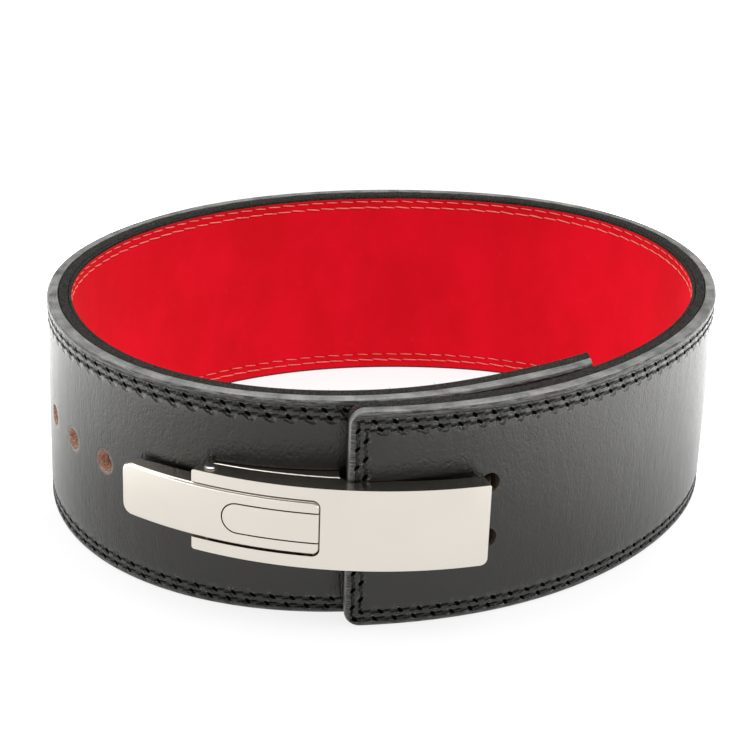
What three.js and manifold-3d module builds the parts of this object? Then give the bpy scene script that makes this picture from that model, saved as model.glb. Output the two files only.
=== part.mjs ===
// A lever-buckle weightlifting belt, closed and standing on its edge.
// Millimetres, +Z up, origin under the middle of the loop, the buckle towards -Y.
import * as THREE from "three";
import { mergeVertices } from "three/addons/utils/BufferGeometryUtils.js";
import Module from "manifold-3d";

const wasm = await Module();
wasm.setup();

// Strap
const LOOP_WIDTH = 314.9; // across the closed loop, left to right
const STRAP_HEIGHT = 100;
const HIDE_THICKNESS = 5.2; // smooth outer hide
const CORE_THICKNESS = 4.2; // rough inner split
const LINING_THICKNESS = 1.2; // suede against the waist
const LAYER_GAP = 0.3;
const FLAP_GAP = 0.4; // between the outer flap and the end that it covers
const EDGE_ROUND = 1.6; // burnished strap edges
const FLAP_CORNER = 7; // corners of the flap end
const TAIL_CORNER = 2; // corners of the tail end
const TAIL_SKIVE = 9; // length of the slope that thins the covered end

// Azimuth round the loop, counter-clockwise from +X, in degrees
const FLAP_END = -95.3;
const TAIL_END = 320.5;
const SECTION_STEP = 20;
const STRAP_STEPS = 80;

// Row: azimuth, radius of the outer face as a share of half the loop width,
// and how far the strap has dived under its own flap, 1 being one strap thickness
const SECTIONS = [
  [-140, 1.112, 0],
  [-120, 1.026, 0],
  [-100, 0.94, 0],
  [-80, 0.882, 0],
  [-60, 0.861, 0],
  [-40, 0.864, 0],
  [-20, 0.9065, 0],
  [0, 0.9833, 0],
  [20, 1.0492, 0],
  [40, 1.0784, 0],
  [60, 1.0186, 0],
  [80, 0.934, 0],
  [100, 0.8995, 0],
  [120, 0.9, 0],
  [140, 0.9256, 0],
  [160, 0.9652, 0],
  [180, 1.0054, 0],
  [200, 1.0056, 0],
  [220, 0.9956, 0],
  [240, 0.972, 0.37],
  [260, 0.94, 1],
  [280, 0.882, 1.08],
  [300, 0.861, 1.4],
  [320, 0.864, 1.02],
  [340, 0.9065, 0.98],
  [360, 0.9833, 0.98],
];

// Holes, by arc length along the outer face: the claws' from the flap end,
// the others on the covered stretch, counted back from where the flap end lies over it
const SPARE_HOLES = 4;
const SPARE_HOLE_START = -171.2;
const SPARE_HOLE_PITCH = 27;
const SPARE_HOLE_DIAMETER = 8.4;
const CLAW_HOLE_ARC = 62;
const CLAW_HOLE_DIAMETER = 10;
const CLAW_SPACING = 26;

// Buckle, pressed from sheet round one upright axis
const BUCKLE_Z = STRAP_HEIGHT / 2;
const FACE_RADIUS = 166; // outer face of the closed buckle
const LINK_RISE = 11; // of the outer face over the covered strap, at the link
const CLAW_RISE = 12.65; // of the outer face over the flap, at the claws
const SHEET = 2;
const BEND = 2; // outer radius of the pressed edges
const RUN_GAP = 0.5; // between pieces that swing past each other
const SEAT_GAP = 0.3; // between pieces that touch on the real belt

// Lengths along the buckle's outer face from over the claw holes, negative towards the tip
const COVER_START = -132.7;
const COVER_END = -6.6;
const LEVER_START = -169.2;
const LEVER_END = -76.9;
const LINK_PLACE = -126.3;
const FULCRUM_PLACE = -82;
const BASE_START = -127.4;
const BASE_END = -70.9;
const BUCKLE_STEPS = 16;

const COVER_WIDTH = 37;
const COVER_CORNER = 3;
const LEVER_WIDTH = 24.5;
const LEVER_TIP_CORNER = 5;
const LEVER_END_CORNER = 3;
const TONGUE_WIDTH = 13;
const TONGUE_PLACE = -112; // round end of the tongue cut in the lever
const TONGUE_CUT = 0.5;
const EAR_INSET = 1.1; // from the lever's side to each ear
const EAR_ROUND = 3.5;

// Depths below the buckle's outer face
const LINK_DEPTH = 4.9;
const COVER_DEPTH = 10.9; // deepest part of the cover's side walls
const LEVER_DEPTH = 9.6; // deepest part of the lever's side walls

// Row: share of the piece's length from its left end, share of its deepest wall
const COVER_WALL = [
  [0, 0.62],
  [0.06, 0.82],
  [0.29, 0.945],
  [0.52, 1],
  [0.7, 0.85],
  [1, 0.79],
];
const LEVER_WALL = [
  [0, 0.54],
  [0.15, 0.77],
  [0.46, 0.94],
  [0.94, 1],
  [1, 0.83],
];

const LINK_PIN_DIAMETER = 3.6;
const LINK_HEAD_DIAMETER = 5.4;
const LINK_HEAD_HEIGHT = 0.8;
const FULCRUM_PIN_DIAMETER = 4;
const PIN_CLEARANCE = 0.15;

const CLAW_THICKNESS = 2.6;
const CLAW_WIDTH = 5;
const CLAW_LEAN = 7.7; // degrees, so that the claws leave their holes as the lever swings
const CLAW_REACH = 7.2; // into the outer flap
const CLAW_SHIFT = -2.1; // along the strap from the middle of its hole

const SCREW_START = -45.2; // counted back as the spare holes are, one pitch apart
const SCREW_HEAD_DIAMETER = 9.6;
const SCREW_HEAD_HEIGHT = 1.3;
const SCREW_SHANK_DIAMETER = 6;
const NUT_DIAMETER = 12;
const NUT_HEIGHT = 1.4;

const STRAP_THICKNESS = HIDE_THICKNESS + CORE_THICKNESS + LINING_THICKNESS + 2 * LAYER_GAP;
const HALF_WIDTH = LOOP_WIDTH / 2;
const ROUND_SIDES = 16;
const OVERCUT = 5;
const radians = THREE.MathUtils.degToRad;

// Solids

function toSolid(geometry) {
  const bare = geometry.clone();
  bare.deleteAttribute("normal");
  bare.deleteAttribute("uv");
  const merged = mergeVertices(bare, 1e-4);
  return new wasm.Manifold(
    new wasm.Mesh({
      numProp: 3,
      vertProperties: merged.getAttribute("position").array,
      triVerts: new Uint32Array(merged.index.array),
    }),
  );
}

function toMesh(name, solid, material) {
  const mesh = solid.getMesh();
  const geometry = new THREE.BufferGeometry();
  geometry.setAttribute("position", new THREE.BufferAttribute(mesh.vertProperties, 3));
  geometry.setIndex(new THREE.BufferAttribute(mesh.triVerts, 1));
  geometry.computeVertexNormals();
  const result = new THREE.Mesh(geometry, material);
  result.name = name;
  return result;
}

// A plan outline raised from z0 to z1, with its upper and lower edges rounded by round.
function raise(outline, z0, z1, round = 0) {
  const geometry = new THREE.ExtrudeGeometry(new THREE.Shape(outline), {
    depth: z1 - z0 - 2 * round,
    bevelEnabled: round > 0,
    bevelThickness: round,
    bevelSize: round,
    bevelOffset: -round,
    bevelSegments: 2,
    curveSegments: 1,
  });
  return toSolid(geometry.translate(0, 0, z0 + round));
}

// A front-view outline of x and z, pushed from y0 back to y1.
function push(shape, y0, y1) {
  const geometry = new THREE.ExtrudeGeometry(shape, {
    depth: y1 - y0,
    bevelEnabled: false,
    curveSegments: 4,
  });
  return toSolid(geometry.rotateX(Math.PI / 2).translate(0, y1, 0));
}

// A front-view rectangle with one radius at its left corners and one at its right.
function panel(x0, x1, z0, z1, leftRound, rightRound) {
  const shape = new THREE.Shape();
  shape.moveTo(x0 + leftRound, z0);
  shape.lineTo(x1 - rightRound, z0);
  shape.absarc(x1 - rightRound, z0 + rightRound, rightRound, -Math.PI / 2, 0);
  shape.lineTo(x1, z1 - rightRound);
  shape.absarc(x1 - rightRound, z1 - rightRound, rightRound, 0, Math.PI / 2);
  shape.lineTo(x0 + leftRound, z1);
  shape.absarc(x0 + leftRound, z1 - leftRound, leftRound, Math.PI / 2, Math.PI);
  shape.lineTo(x0, z0 + leftRound);
  shape.absarc(x0 + leftRound, z0 + leftRound, leftRound, Math.PI, 1.5 * Math.PI);
  return shape;
}

// A round bar along Z between two heights.
function uprightBar(centre, diameter, z0, z1) {
  const geometry = new THREE.CylinderGeometry(diameter / 2, diameter / 2, z1 - z0, ROUND_SIDES);
  return toSolid(geometry.rotateX(Math.PI / 2).translate(centre.x, centre.y, (z0 + z1) / 2));
}

// A round bar square to the strap at an arc length, from one depth below the outer face to another.
function crossBar(arc, z, diameter, depth0, depth1) {
  const { point, inward } = strapAt(arc);
  const geometry = new THREE.CylinderGeometry(
    diameter / 2,
    diameter / 2,
    depth1 - depth0,
    ROUND_SIDES,
  );
  const middle = point.clone().addScaledVector(inward, (depth0 + depth1) / 2);
  const turn = new THREE.Quaternion().setFromUnitVectors(
    new THREE.Vector3(0, 1, 0),
    new THREE.Vector3(inward.x, inward.y, 0),
  );
  return toSolid(geometry.applyQuaternion(turn).translate(middle.x, middle.y, z));
}

function unite(solids) {
  return solids.reduce((sum, solid) => sum.add(solid));
}

function cut(solid, cutters) {
  return cutters.reduce((left, cutter) => left.subtract(cutter), solid);
}

// Strap path

function blend(distance) {
  const d = Math.abs(distance);
  if (d < 1) {
    return 2 / 3 - d * d + (d * d * d) / 2;
  }
  return d < 2 ? (2 - d) ** 3 / 6 : 0;
}

function strapRadius(azimuth) {
  const dive = STRAP_THICKNESS + FLAP_GAP;
  return SECTIONS.reduce(
    (sum, [at, share, inset]) =>
      sum + blend((azimuth - at) / SECTION_STEP) * (share * HALF_WIDTH - inset * dive),
    0,
  );
}

class OuterFace extends THREE.Curve {
  getPoint(t, target = new THREE.Vector3()) {
    const azimuth = THREE.MathUtils.lerp(FLAP_END, TAIL_END, t);
    const radius = strapRadius(azimuth);
    return target.set(radius * Math.cos(radians(azimuth)), radius * Math.sin(radians(azimuth)), 0);
  }
}

const outerFace = new OuterFace();
outerFace.arcLengthDivisions = 2000;
const STRAP_LENGTH = outerFace.getLength();

// The arc length of the covered stretch where the flap end lies over it.
const LAP_ARC = (() => {
  const lengths = outerFace.getLengths();
  const share = 360 / (TAIL_END - FLAP_END);
  const index = Math.floor(share * (lengths.length - 1));
  return lengths[index];
})();
const screwStart = LAP_ARC + SCREW_START;
const screwArcs = [screwStart, screwStart + SPARE_HOLE_PITCH];

// The point of the outer face at an arc length, with its directions along the strap and inward.
function strapAt(arc) {
  const share = THREE.MathUtils.clamp(arc / STRAP_LENGTH, 0, 1);
  const along = outerFace.getTangentAt(share);
  const point = outerFace.getPointAt(share).addScaledVector(along, arc - share * STRAP_LENGTH);
  return { point, along, inward: new THREE.Vector3(-along.y, along.x, 0) };
}

function strapLine(arc0, arc1, depth, steps) {
  return Array.from({ length: steps + 1 }, (_, i) => {
    const { point, inward } = strapAt(THREE.MathUtils.lerp(arc0, arc1, i / steps));
    return new THREE.Vector2(point.x + depth * inward.x, point.y + depth * inward.y);
  });
}

// Where the strap ends at a depth below its outer face: the covered end slopes.
function tailArc(depth) {
  return STRAP_LENGTH - TAIL_SKIVE * (1 - depth / STRAP_THICKNESS);
}

function strapOutline(depth0, depth1) {
  return [
    ...strapLine(0, tailArc(depth0), depth0, STRAP_STEPS),
    ...strapLine(0, tailArc(depth1), depth1, STRAP_STEPS).reverse(),
  ];
}

// What rounds the two corners of a strap end. Side is 1 at the flap and -1 at the tail.
function endCorners(arc, side, radius) {
  const { point, along, inward } = strapAt(arc);
  const corner = new THREE.Shape();
  corner.moveTo(-OVERCUT, -OVERCUT);
  corner.lineTo(radius, -OVERCUT);
  corner.lineTo(radius, 0);
  corner.absarc(radius, radius, radius, -Math.PI / 2, Math.PI, true);
  corner.lineTo(-OVERCUT, radius);
  const depth = STRAP_THICKNESS + FLAP_GAP;
  return [1, -1].map((up) => {
    const outline = corner.getPoints(6).map((p) => new THREE.Vector2(side * p.x, up * p.y));
    const geometry = new THREE.ExtrudeGeometry(
      new THREE.Shape(THREE.ShapeUtils.isClockWise(outline) ? outline.reverse() : outline),
      { depth, bevelEnabled: false },
    );
    const frame = new THREE.Matrix4().makeBasis(
      along,
      new THREE.Vector3(0, 0, 1),
      inward.clone().negate(),
    );
    const start = point.clone().addScaledVector(inward, depth - FLAP_GAP / 2);
    start.z = up > 0 ? 0 : STRAP_HEIGHT;
    return toSolid(geometry.applyMatrix4(frame).translate(start.x, start.y, start.z));
  });
}

const throughStrap = [-OVERCUT, STRAP_THICKNESS + OVERCUT];
const throughFlap = [-OVERCUT, STRAP_THICKNESS + FLAP_GAP / 2];
const clawHeights = [BUCKLE_Z - CLAW_SPACING / 2, BUCKLE_Z + CLAW_SPACING / 2];
const screwShankHole = SCREW_SHANK_DIAMETER + 2 * SEAT_GAP;

function strapHoles() {
  const spare = Array.from({ length: SPARE_HOLES }, (_, i) =>
    crossBar(
      LAP_ARC + SPARE_HOLE_START + i * SPARE_HOLE_PITCH,
      BUCKLE_Z,
      SPARE_HOLE_DIAMETER,
      ...throughStrap,
    ),
  );
  const screws = screwArcs.map((arc) => crossBar(arc, BUCKLE_Z, screwShankHole, ...throughStrap));
  const claws = clawHeights.map((z) =>
    crossBar(CLAW_HOLE_ARC, z, CLAW_HOLE_DIAMETER, ...throughFlap),
  );
  return [...spare, ...screws, ...claws];
}

const strapBody = cut(
  raise(strapOutline(0, STRAP_THICKNESS), 0, STRAP_HEIGHT, EDGE_ROUND),
  [
    ...endCorners(0, 1, FLAP_CORNER),
    ...endCorners(STRAP_LENGTH, -1, TAIL_CORNER),
    ...strapHoles(),
  ],
);

function strapLayer(depth0, depth1) {
  const line0 = strapLine(-OVERCUT, STRAP_LENGTH + OVERCUT, depth0, STRAP_STEPS);
  const line1 = strapLine(-OVERCUT, STRAP_LENGTH + OVERCUT, depth1, STRAP_STEPS);
  const slab = raise([...line0, ...line1.reverse()], -OVERCUT, STRAP_HEIGHT + OVERCUT);
  return strapBody.intersect(slab);
}

// Buckle plan

function strapPlan(arc, rise) {
  const { point, inward } = strapAt(arc);
  return new THREE.Vector2(point.x - rise * inward.x, point.y - rise * inward.y);
}

// The upright axis that puts the buckle's face at its rise over the link and over the claws.
function findAxis() {
  const left = strapPlan(LAP_ARC + CLAW_HOLE_ARC + LINK_PLACE, LINK_RISE);
  const right = strapPlan(CLAW_HOLE_ARC, CLAW_RISE);
  const half = right.clone().sub(left).multiplyScalar(1 / 2);
  const inward = new THREE.Vector2(-half.y, half.x).normalize();
  const sag = Math.sqrt(FACE_RADIUS ** 2 - half.lengthSq());
  return left.add(half).addScaledVector(inward, sag);
}

const buckleAxis = findAxis();
const clawFoot = strapPlan(CLAW_HOLE_ARC, 0);
const clawTurn = Math.atan2(clawFoot.x - buckleAxis.x, buckleAxis.y - clawFoot.y);

function bucklePoint(place, depth) {
  const radius = FACE_RADIUS - depth;
  const turn = clawTurn + place / FACE_RADIUS;
  return new THREE.Vector2(
    buckleAxis.x + radius * Math.sin(turn),
    buckleAxis.y - radius * Math.cos(turn),
  );
}

// The depth of a piece's side walls at a place, from its row of shares.
function wallDepth(rows, start, end, deepest, place) {
  const share = THREE.MathUtils.clamp((place - start) / (end - start), 0, 1);
  const next = Math.max(1, rows.findIndex(([at]) => at >= share));
  const [share0, depth0] = rows[next - 1];
  const [share1, depth1] = rows[next];
  return deepest * THREE.MathUtils.mapLinear(share, share0, share1, depth0, depth1);
}

const coverWall = (place) => wallDepth(COVER_WALL, COVER_START, COVER_END, COVER_DEPTH, place);
const leverWall = (place) => wallDepth(LEVER_WALL, LEVER_START, LEVER_END, LEVER_DEPTH, place);

// The plan of a bent sheet between two depths, each a function of the place along it.
function buckleOutline(start, end, front, back) {
  const places = Array.from({ length: BUCKLE_STEPS + 1 }, (_, i) =>
    THREE.MathUtils.lerp(start, end, i / BUCKLE_STEPS),
  );
  return [
    ...places.map((place) => bucklePoint(place, front(place))),
    ...places.map((place) => bucklePoint(place, back(place))).reverse(),
  ];
}

const link = bucklePoint(LINK_PLACE, LINK_DEPTH);
const fulcrum = bucklePoint(FULCRUM_PLACE, SHEET + EAR_ROUND + SEAT_GAP);
const frontY = buckleAxis.y - FACE_RADIUS - OVERCUT;

// A tray: a face sheet with a wall along both sides, and along its ends where closed.
function tray(start, end, width, wallAt, closedEnds) {
  const over = closedEnds ? -SHEET : SHEET;
  const deep = () => FACE_RADIUS / 4;
  const skin = raise(
    buckleOutline(start, end, () => 0, deep),
    BUCKLE_Z - width / 2,
    BUCKLE_Z + width / 2,
    BEND,
  );
  const limit = raise(
    buckleOutline(start - SHEET, end + SHEET, () => -OVERCUT, wallAt),
    0,
    STRAP_HEIGHT,
  );
  const hollow = raise(
    buckleOutline(start - over, end + over, () => SHEET, () => FACE_RADIUS / 2),
    BUCKLE_Z - width / 2 + SHEET,
    BUCKLE_Z + width / 2 - SHEET,
    BEND / 4,
  );
  return skin.intersect(limit).subtract(hollow);
}

// Everything inside the strap's outer face, kept clear of the buckle.
function strapRoom(arc0, arc1, clearance) {
  const outline = [
    ...strapLine(arc0, arc1, -clearance, BUCKLE_STEPS),
    ...strapLine(arc0, arc1, STRAP_THICKNESS, BUCKLE_STEPS).reverse(),
  ];
  return raise(outline, -OVERCUT, STRAP_HEIGHT + OVERCUT);
}

// The arc length along the covered strap that lies behind a place of the buckle.
function arcBehind(place) {
  const ray = bucklePoint(place, 0).sub(buckleAxis).normalize();
  let low = LAP_ARC - FACE_RADIUS;
  let high = STRAP_LENGTH;
  for (let i = 0; i < 40; i += 1) {
    const middle = (low + high) / 2;
    const { point } = strapAt(middle);
    const side = ray.x * (point.y - buckleAxis.y) - ray.y * (point.x - buckleAxis.x);
    if (side < 0) {
      low = middle;
    } else {
      high = middle;
    }
  }
  return low;
}

const baseStartArc = arcBehind(BASE_START);
const baseEndArc = arcBehind(BASE_END);

// Buckle pieces

const leverHalf = LEVER_WIDTH / 2;
const coverHalf = COVER_WIDTH / 2;
const earInner = leverHalf + EAR_INSET;
const earOuter = earInner + SHEET;

function sideSlab(outline, near, far, side) {
  const z = [BUCKLE_Z + side * near, BUCKLE_Z + side * far].sort((a, b) => a - b);
  return raise(outline, z[0], z[1]);
}

function earOutline() {
  const foot = strapAt(arcBehind(FULCRUM_PLACE));
  const outward = new THREE.Vector2(-foot.inward.x, -foot.inward.y);
  const along = new THREE.Vector2(foot.along.x, foot.along.y);
  const toward = Math.atan2(outward.y, outward.x);
  const top = Array.from({ length: ROUND_SIDES / 2 + 1 }, (_, i) => {
    const turn = toward - Math.PI / 2 + (i * 2 * Math.PI) / ROUND_SIDES;
    const spoke = new THREE.Vector2(Math.cos(turn), Math.sin(turn));
    return fulcrum.clone().addScaledVector(spoke, EAR_ROUND);
  });
  const rise = fulcrum.clone().sub(new THREE.Vector2(foot.point.x, foot.point.y)).dot(outward);
  const drop = outward.clone().multiplyScalar(SEAT_GAP + SHEET / 2 - rise);
  const spread = along.multiplyScalar(2 * EAR_ROUND);
  return [
    ...top,
    fulcrum.clone().add(drop).add(spread),
    fulcrum.clone().add(drop).sub(spread),
  ];
}

function basePlate() {
  const plate = raise(
    [
      ...strapLine(baseStartArc, baseEndArc, -SEAT_GAP - SHEET, BUCKLE_STEPS),
      ...strapLine(baseStartArc, baseEndArc, -SEAT_GAP, BUCKLE_STEPS).reverse(),
    ],
    BUCKLE_Z - coverHalf,
    BUCKLE_Z + coverHalf,
  );
  const wallOutline = [
    ...Array.from({ length: BUCKLE_STEPS + 1 }, (_, i) => {
      const place = THREE.MathUtils.lerp(BASE_START, BASE_END, i / BUCKLE_STEPS);
      return bucklePoint(place, coverWall(place) + SEAT_GAP);
    }),
    ...strapLine(baseStartArc, baseEndArc, -SEAT_GAP, BUCKLE_STEPS).reverse(),
  ];
  const walls = [1, -1].map((side) => sideSlab(wallOutline, coverHalf - SHEET, coverHalf, side));
  const ears = [1, -1].map((side) => sideSlab(earOutline(), earInner, earOuter, side));
  const recesses = screwArcs.flatMap((arc) => [
    crossBar(arc, BUCKLE_Z, screwShankHole, ...throughStrap),
    crossBar(
      arc,
      BUCKLE_Z,
      SCREW_HEAD_DIAMETER + 2 * SEAT_GAP,
      -FACE_RADIUS / 4,
      -SEAT_GAP - SHEET + SCREW_HEAD_HEIGHT,
    ),
  ]);
  const pinHole = uprightBar(
    fulcrum,
    FULCRUM_PIN_DIAMETER + 2 * PIN_CLEARANCE,
    BUCKLE_Z - earOuter - OVERCUT,
    BUCKLE_Z + earOuter + OVERCUT,
  );
  return cut(unite([plate, ...walls, ...ears]), [...recesses, pinHole]);
}

// One plain post: a flush head on the base, a shank through the strap and a flat nut inside.
function postScrew(arc) {
  const headTop = -SEAT_GAP - SHEET;
  const nutTop = STRAP_THICKNESS + SEAT_GAP;
  return unite([
    crossBar(arc, BUCKLE_Z, SCREW_HEAD_DIAMETER, headTop, headTop + SCREW_HEAD_HEIGHT - SEAT_GAP),
    crossBar(arc, BUCKLE_Z, SCREW_SHANK_DIAMETER, headTop + SEAT_GAP, nutTop + NUT_HEIGHT / 2),
    crossBar(arc, BUCKLE_Z, NUT_DIAMETER, nutTop, nutTop + NUT_HEIGHT),
  ]);
}

function lever() {
  const body = tray(LEVER_START, LEVER_END, LEVER_WIDTH, leverWall, true);
  const left = bucklePoint(LEVER_START, 0).x;
  const right = bucklePoint(LEVER_END, 0).x;
  const back = buckleAxis.y;
  const outline = panel(
    left,
    right,
    BUCKLE_Z - leverHalf,
    BUCKLE_Z + leverHalf,
    LEVER_TIP_CORNER,
    LEVER_END_CORNER,
  );
  const tongueLeft = bucklePoint(TONGUE_PLACE, 0).x;
  const tongueRight = right - SHEET;
  const slot = (half) => push(
    panel(tongueLeft - half, tongueRight, BUCKLE_Z - half, BUCKLE_Z + half, half, 0),
    frontY,
    bucklePoint(TONGUE_PLACE, SHEET).y + SHEET,
  );
  const tongueHalf = TONGUE_WIDTH / 2;
  const tongueCut = slot(tongueHalf + TONGUE_CUT).subtract(slot(tongueHalf));
  const pinHoles = [
    [link, LINK_PIN_DIAMETER],
    [fulcrum, FULCRUM_PIN_DIAMETER],
  ].map(([centre, diameter]) =>
    uprightBar(centre, diameter + 2 * PIN_CLEARANCE, 0, STRAP_HEIGHT),
  );
  return cut(body.intersect(push(outline, frontY, back)), [tongueCut, ...pinHoles]);
}

// The claw's root on the cover and its tip in the strap, in plan.
function claw(z) {
  const { point, along, inward } = strapAt(CLAW_HOLE_ARC);
  const mouth = point.clone().addScaledVector(along, CLAW_SHIFT);
  const inwards = new THREE.Vector3(Math.sin(radians(CLAW_LEAN)), Math.cos(radians(CLAW_LEAN)), 0);
  const reach = CLAW_REACH / inwards.dot(inward);
  const face = new THREE.Vector2(mouth.x - buckleAxis.x, mouth.y - buckleAxis.y).length();
  const rise = FACE_RADIUS - SHEET / 2 - face;
  const geometry = new THREE.BoxGeometry(CLAW_THICKNESS, rise + reach, CLAW_WIDTH);
  geometry.rotateZ(-radians(CLAW_LEAN));
  const middle = mouth.addScaledVector(inwards, (reach - rise) / 2);
  return toSolid(geometry.translate(middle.x, middle.y, z));
}

function coverPlate() {
  const body = tray(COVER_START, COVER_END, COVER_WIDTH, coverWall, false);
  const left = bucklePoint(COVER_START, 0).x;
  const right = bucklePoint(COVER_END, 0).x;
  const outline = panel(
    left - OVERCUT,
    right,
    BUCKLE_Z - coverHalf,
    BUCKLE_Z + coverHalf,
    0,
    COVER_CORNER,
  );
  const leverRight = bucklePoint(LEVER_END, 0).x;
  const window = panel(
    left - 2 * OVERCUT,
    leverRight + RUN_GAP,
    BUCKLE_Z - leverHalf - RUN_GAP,
    BUCKLE_Z + leverHalf + RUN_GAP,
    0,
    LEVER_END_CORNER,
  );
  const pinHole = uprightBar(link, LINK_PIN_DIAMETER + 2 * PIN_CLEARANCE, 0, STRAP_HEIGHT);
  const flapRoom = strapRoom(-2 * SEAT_GAP, CLAW_HOLE_ARC + CLAW_HOLE_DIAMETER, SEAT_GAP);
  const baseRoom = strapRoom(baseStartArc - SHEET, LAP_ARC, SHEET + 2 * SEAT_GAP);
  const shell = cut(body.intersect(push(outline, frontY, buckleAxis.y)), [
    push(window, frontY, link.y + OVERCUT),
    pinHole,
    flapRoom,
    baseRoom,
  ]);
  return unite([shell, ...clawHeights.map(claw)]);
}

function linkPin() {
  const side = coverHalf + SEAT_GAP;
  return unite([
    uprightBar(link, LINK_PIN_DIAMETER, BUCKLE_Z - side, BUCKLE_Z + side),
    uprightBar(link, LINK_HEAD_DIAMETER, BUCKLE_Z + side, BUCKLE_Z + side + LINK_HEAD_HEIGHT),
    uprightBar(link, LINK_HEAD_DIAMETER, BUCKLE_Z - side - LINK_HEAD_HEIGHT, BUCKLE_Z - side),
  ]);
}

function fulcrumPin() {
  const end = earOuter + SEAT_GAP;
  return uprightBar(fulcrum, FULCRUM_PIN_DIAMETER, BUCKLE_Z - end, BUCKLE_Z + end);
}

// Finishes

const blackHide = new THREE.MeshStandardMaterial({ color: 0x232524, roughness: 0.42, metalness: 0 });
const blackSplit = new THREE.MeshStandardMaterial({ color: 0x171717, roughness: 0.95, metalness: 0 });
const redSuede = new THREE.MeshStandardMaterial({ color: 0xd90a14, roughness: 0.9, metalness: 0 });
const satinSteel = new THREE.MeshStandardMaterial({ color: 0xd4cec6, roughness: 0.34, metalness: 1 });
const brightSteel = new THREE.MeshStandardMaterial({ color: 0xc9c9c7, roughness: 0.25, metalness: 1 });

const coreStart = HIDE_THICKNESS + LAYER_GAP;
const liningStart = coreStart + CORE_THICKNESS + LAYER_GAP;

const belt = new THREE.Group();
belt.add(toMesh("outer_hide", strapLayer(-FLAP_GAP / 4, HIDE_THICKNESS), blackHide));
belt.add(toMesh("strap_core", strapLayer(coreStart, coreStart + CORE_THICKNESS), blackSplit));
belt.add(toMesh("lining", strapLayer(liningStart, STRAP_THICKNESS + FLAP_GAP / 4), redSuede));

const buckle = new THREE.Group();
buckle.add(toMesh("base_plate", basePlate(), satinSteel));
buckle.add(toMesh("lever", lever(), satinSteel));
buckle.add(toMesh("cover_plate", coverPlate(), satinSteel));
buckle.add(toMesh("fulcrum_pin", fulcrumPin(), brightSteel));
buckle.add(toMesh("link_pin", linkPin(), brightSteel));
screwArcs.forEach((arc, i) => {
  buckle.add(toMesh(`post_screw_${i + 1}`, postScrew(arc), brightSteel));
});
belt.add(buckle);

const extent = new THREE.Box3().setFromObject(belt);
const middle = extent.getCenter(new THREE.Vector3());
belt.position.set(-middle.x, -middle.y, -extent.min.z);

export default belt;
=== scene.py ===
"""Looks of a lever-buckle weightlifting belt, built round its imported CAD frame.

Sizes are in millimetres and become metres as meshes are made. The strap is drawn flat, by
arc length from the flap end, depth below its outer face and height, and then bent round
the loop. The buckle is drawn flat too, and bent round its own upright axis.
"""

import logging
import math
from dataclasses import dataclass, field
from enum import Enum
from typing import Any, Callable, Sequence

import bmesh
import bpy
import numpy as np
from mathutils import Matrix, Vector

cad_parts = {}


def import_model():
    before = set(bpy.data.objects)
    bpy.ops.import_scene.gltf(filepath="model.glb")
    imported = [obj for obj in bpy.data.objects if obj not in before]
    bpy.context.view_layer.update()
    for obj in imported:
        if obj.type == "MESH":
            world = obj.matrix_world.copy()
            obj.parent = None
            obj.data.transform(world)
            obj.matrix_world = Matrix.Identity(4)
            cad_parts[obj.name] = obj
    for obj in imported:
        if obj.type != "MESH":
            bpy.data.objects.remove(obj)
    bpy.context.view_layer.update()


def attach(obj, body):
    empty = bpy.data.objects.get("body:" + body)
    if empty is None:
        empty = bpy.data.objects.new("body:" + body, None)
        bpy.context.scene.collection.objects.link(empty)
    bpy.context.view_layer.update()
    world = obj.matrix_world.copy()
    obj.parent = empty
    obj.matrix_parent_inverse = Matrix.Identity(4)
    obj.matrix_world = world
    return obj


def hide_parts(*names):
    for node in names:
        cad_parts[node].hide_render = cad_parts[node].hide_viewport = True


MM = 0.001
LOG = logging.getLogger("belt")
Array = np.ndarray
Outline = list[tuple[float, float]]
Colour = tuple[float, float, float, float]


class Body(Enum):
    """The CAD bodies that the pieces ride on."""

    STRAP = "strap"
    LEVER = "lever"
    COVER = "cover"


class Plane(Enum):
    """The plane that an outline is drawn in before it is made a prism."""

    FRONT = (0, 2, 1)  # along the piece and up; the prism runs in depth
    PLAN = (0, 1, 2)  # along the piece and in depth; the prism runs up


# Paths


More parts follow.
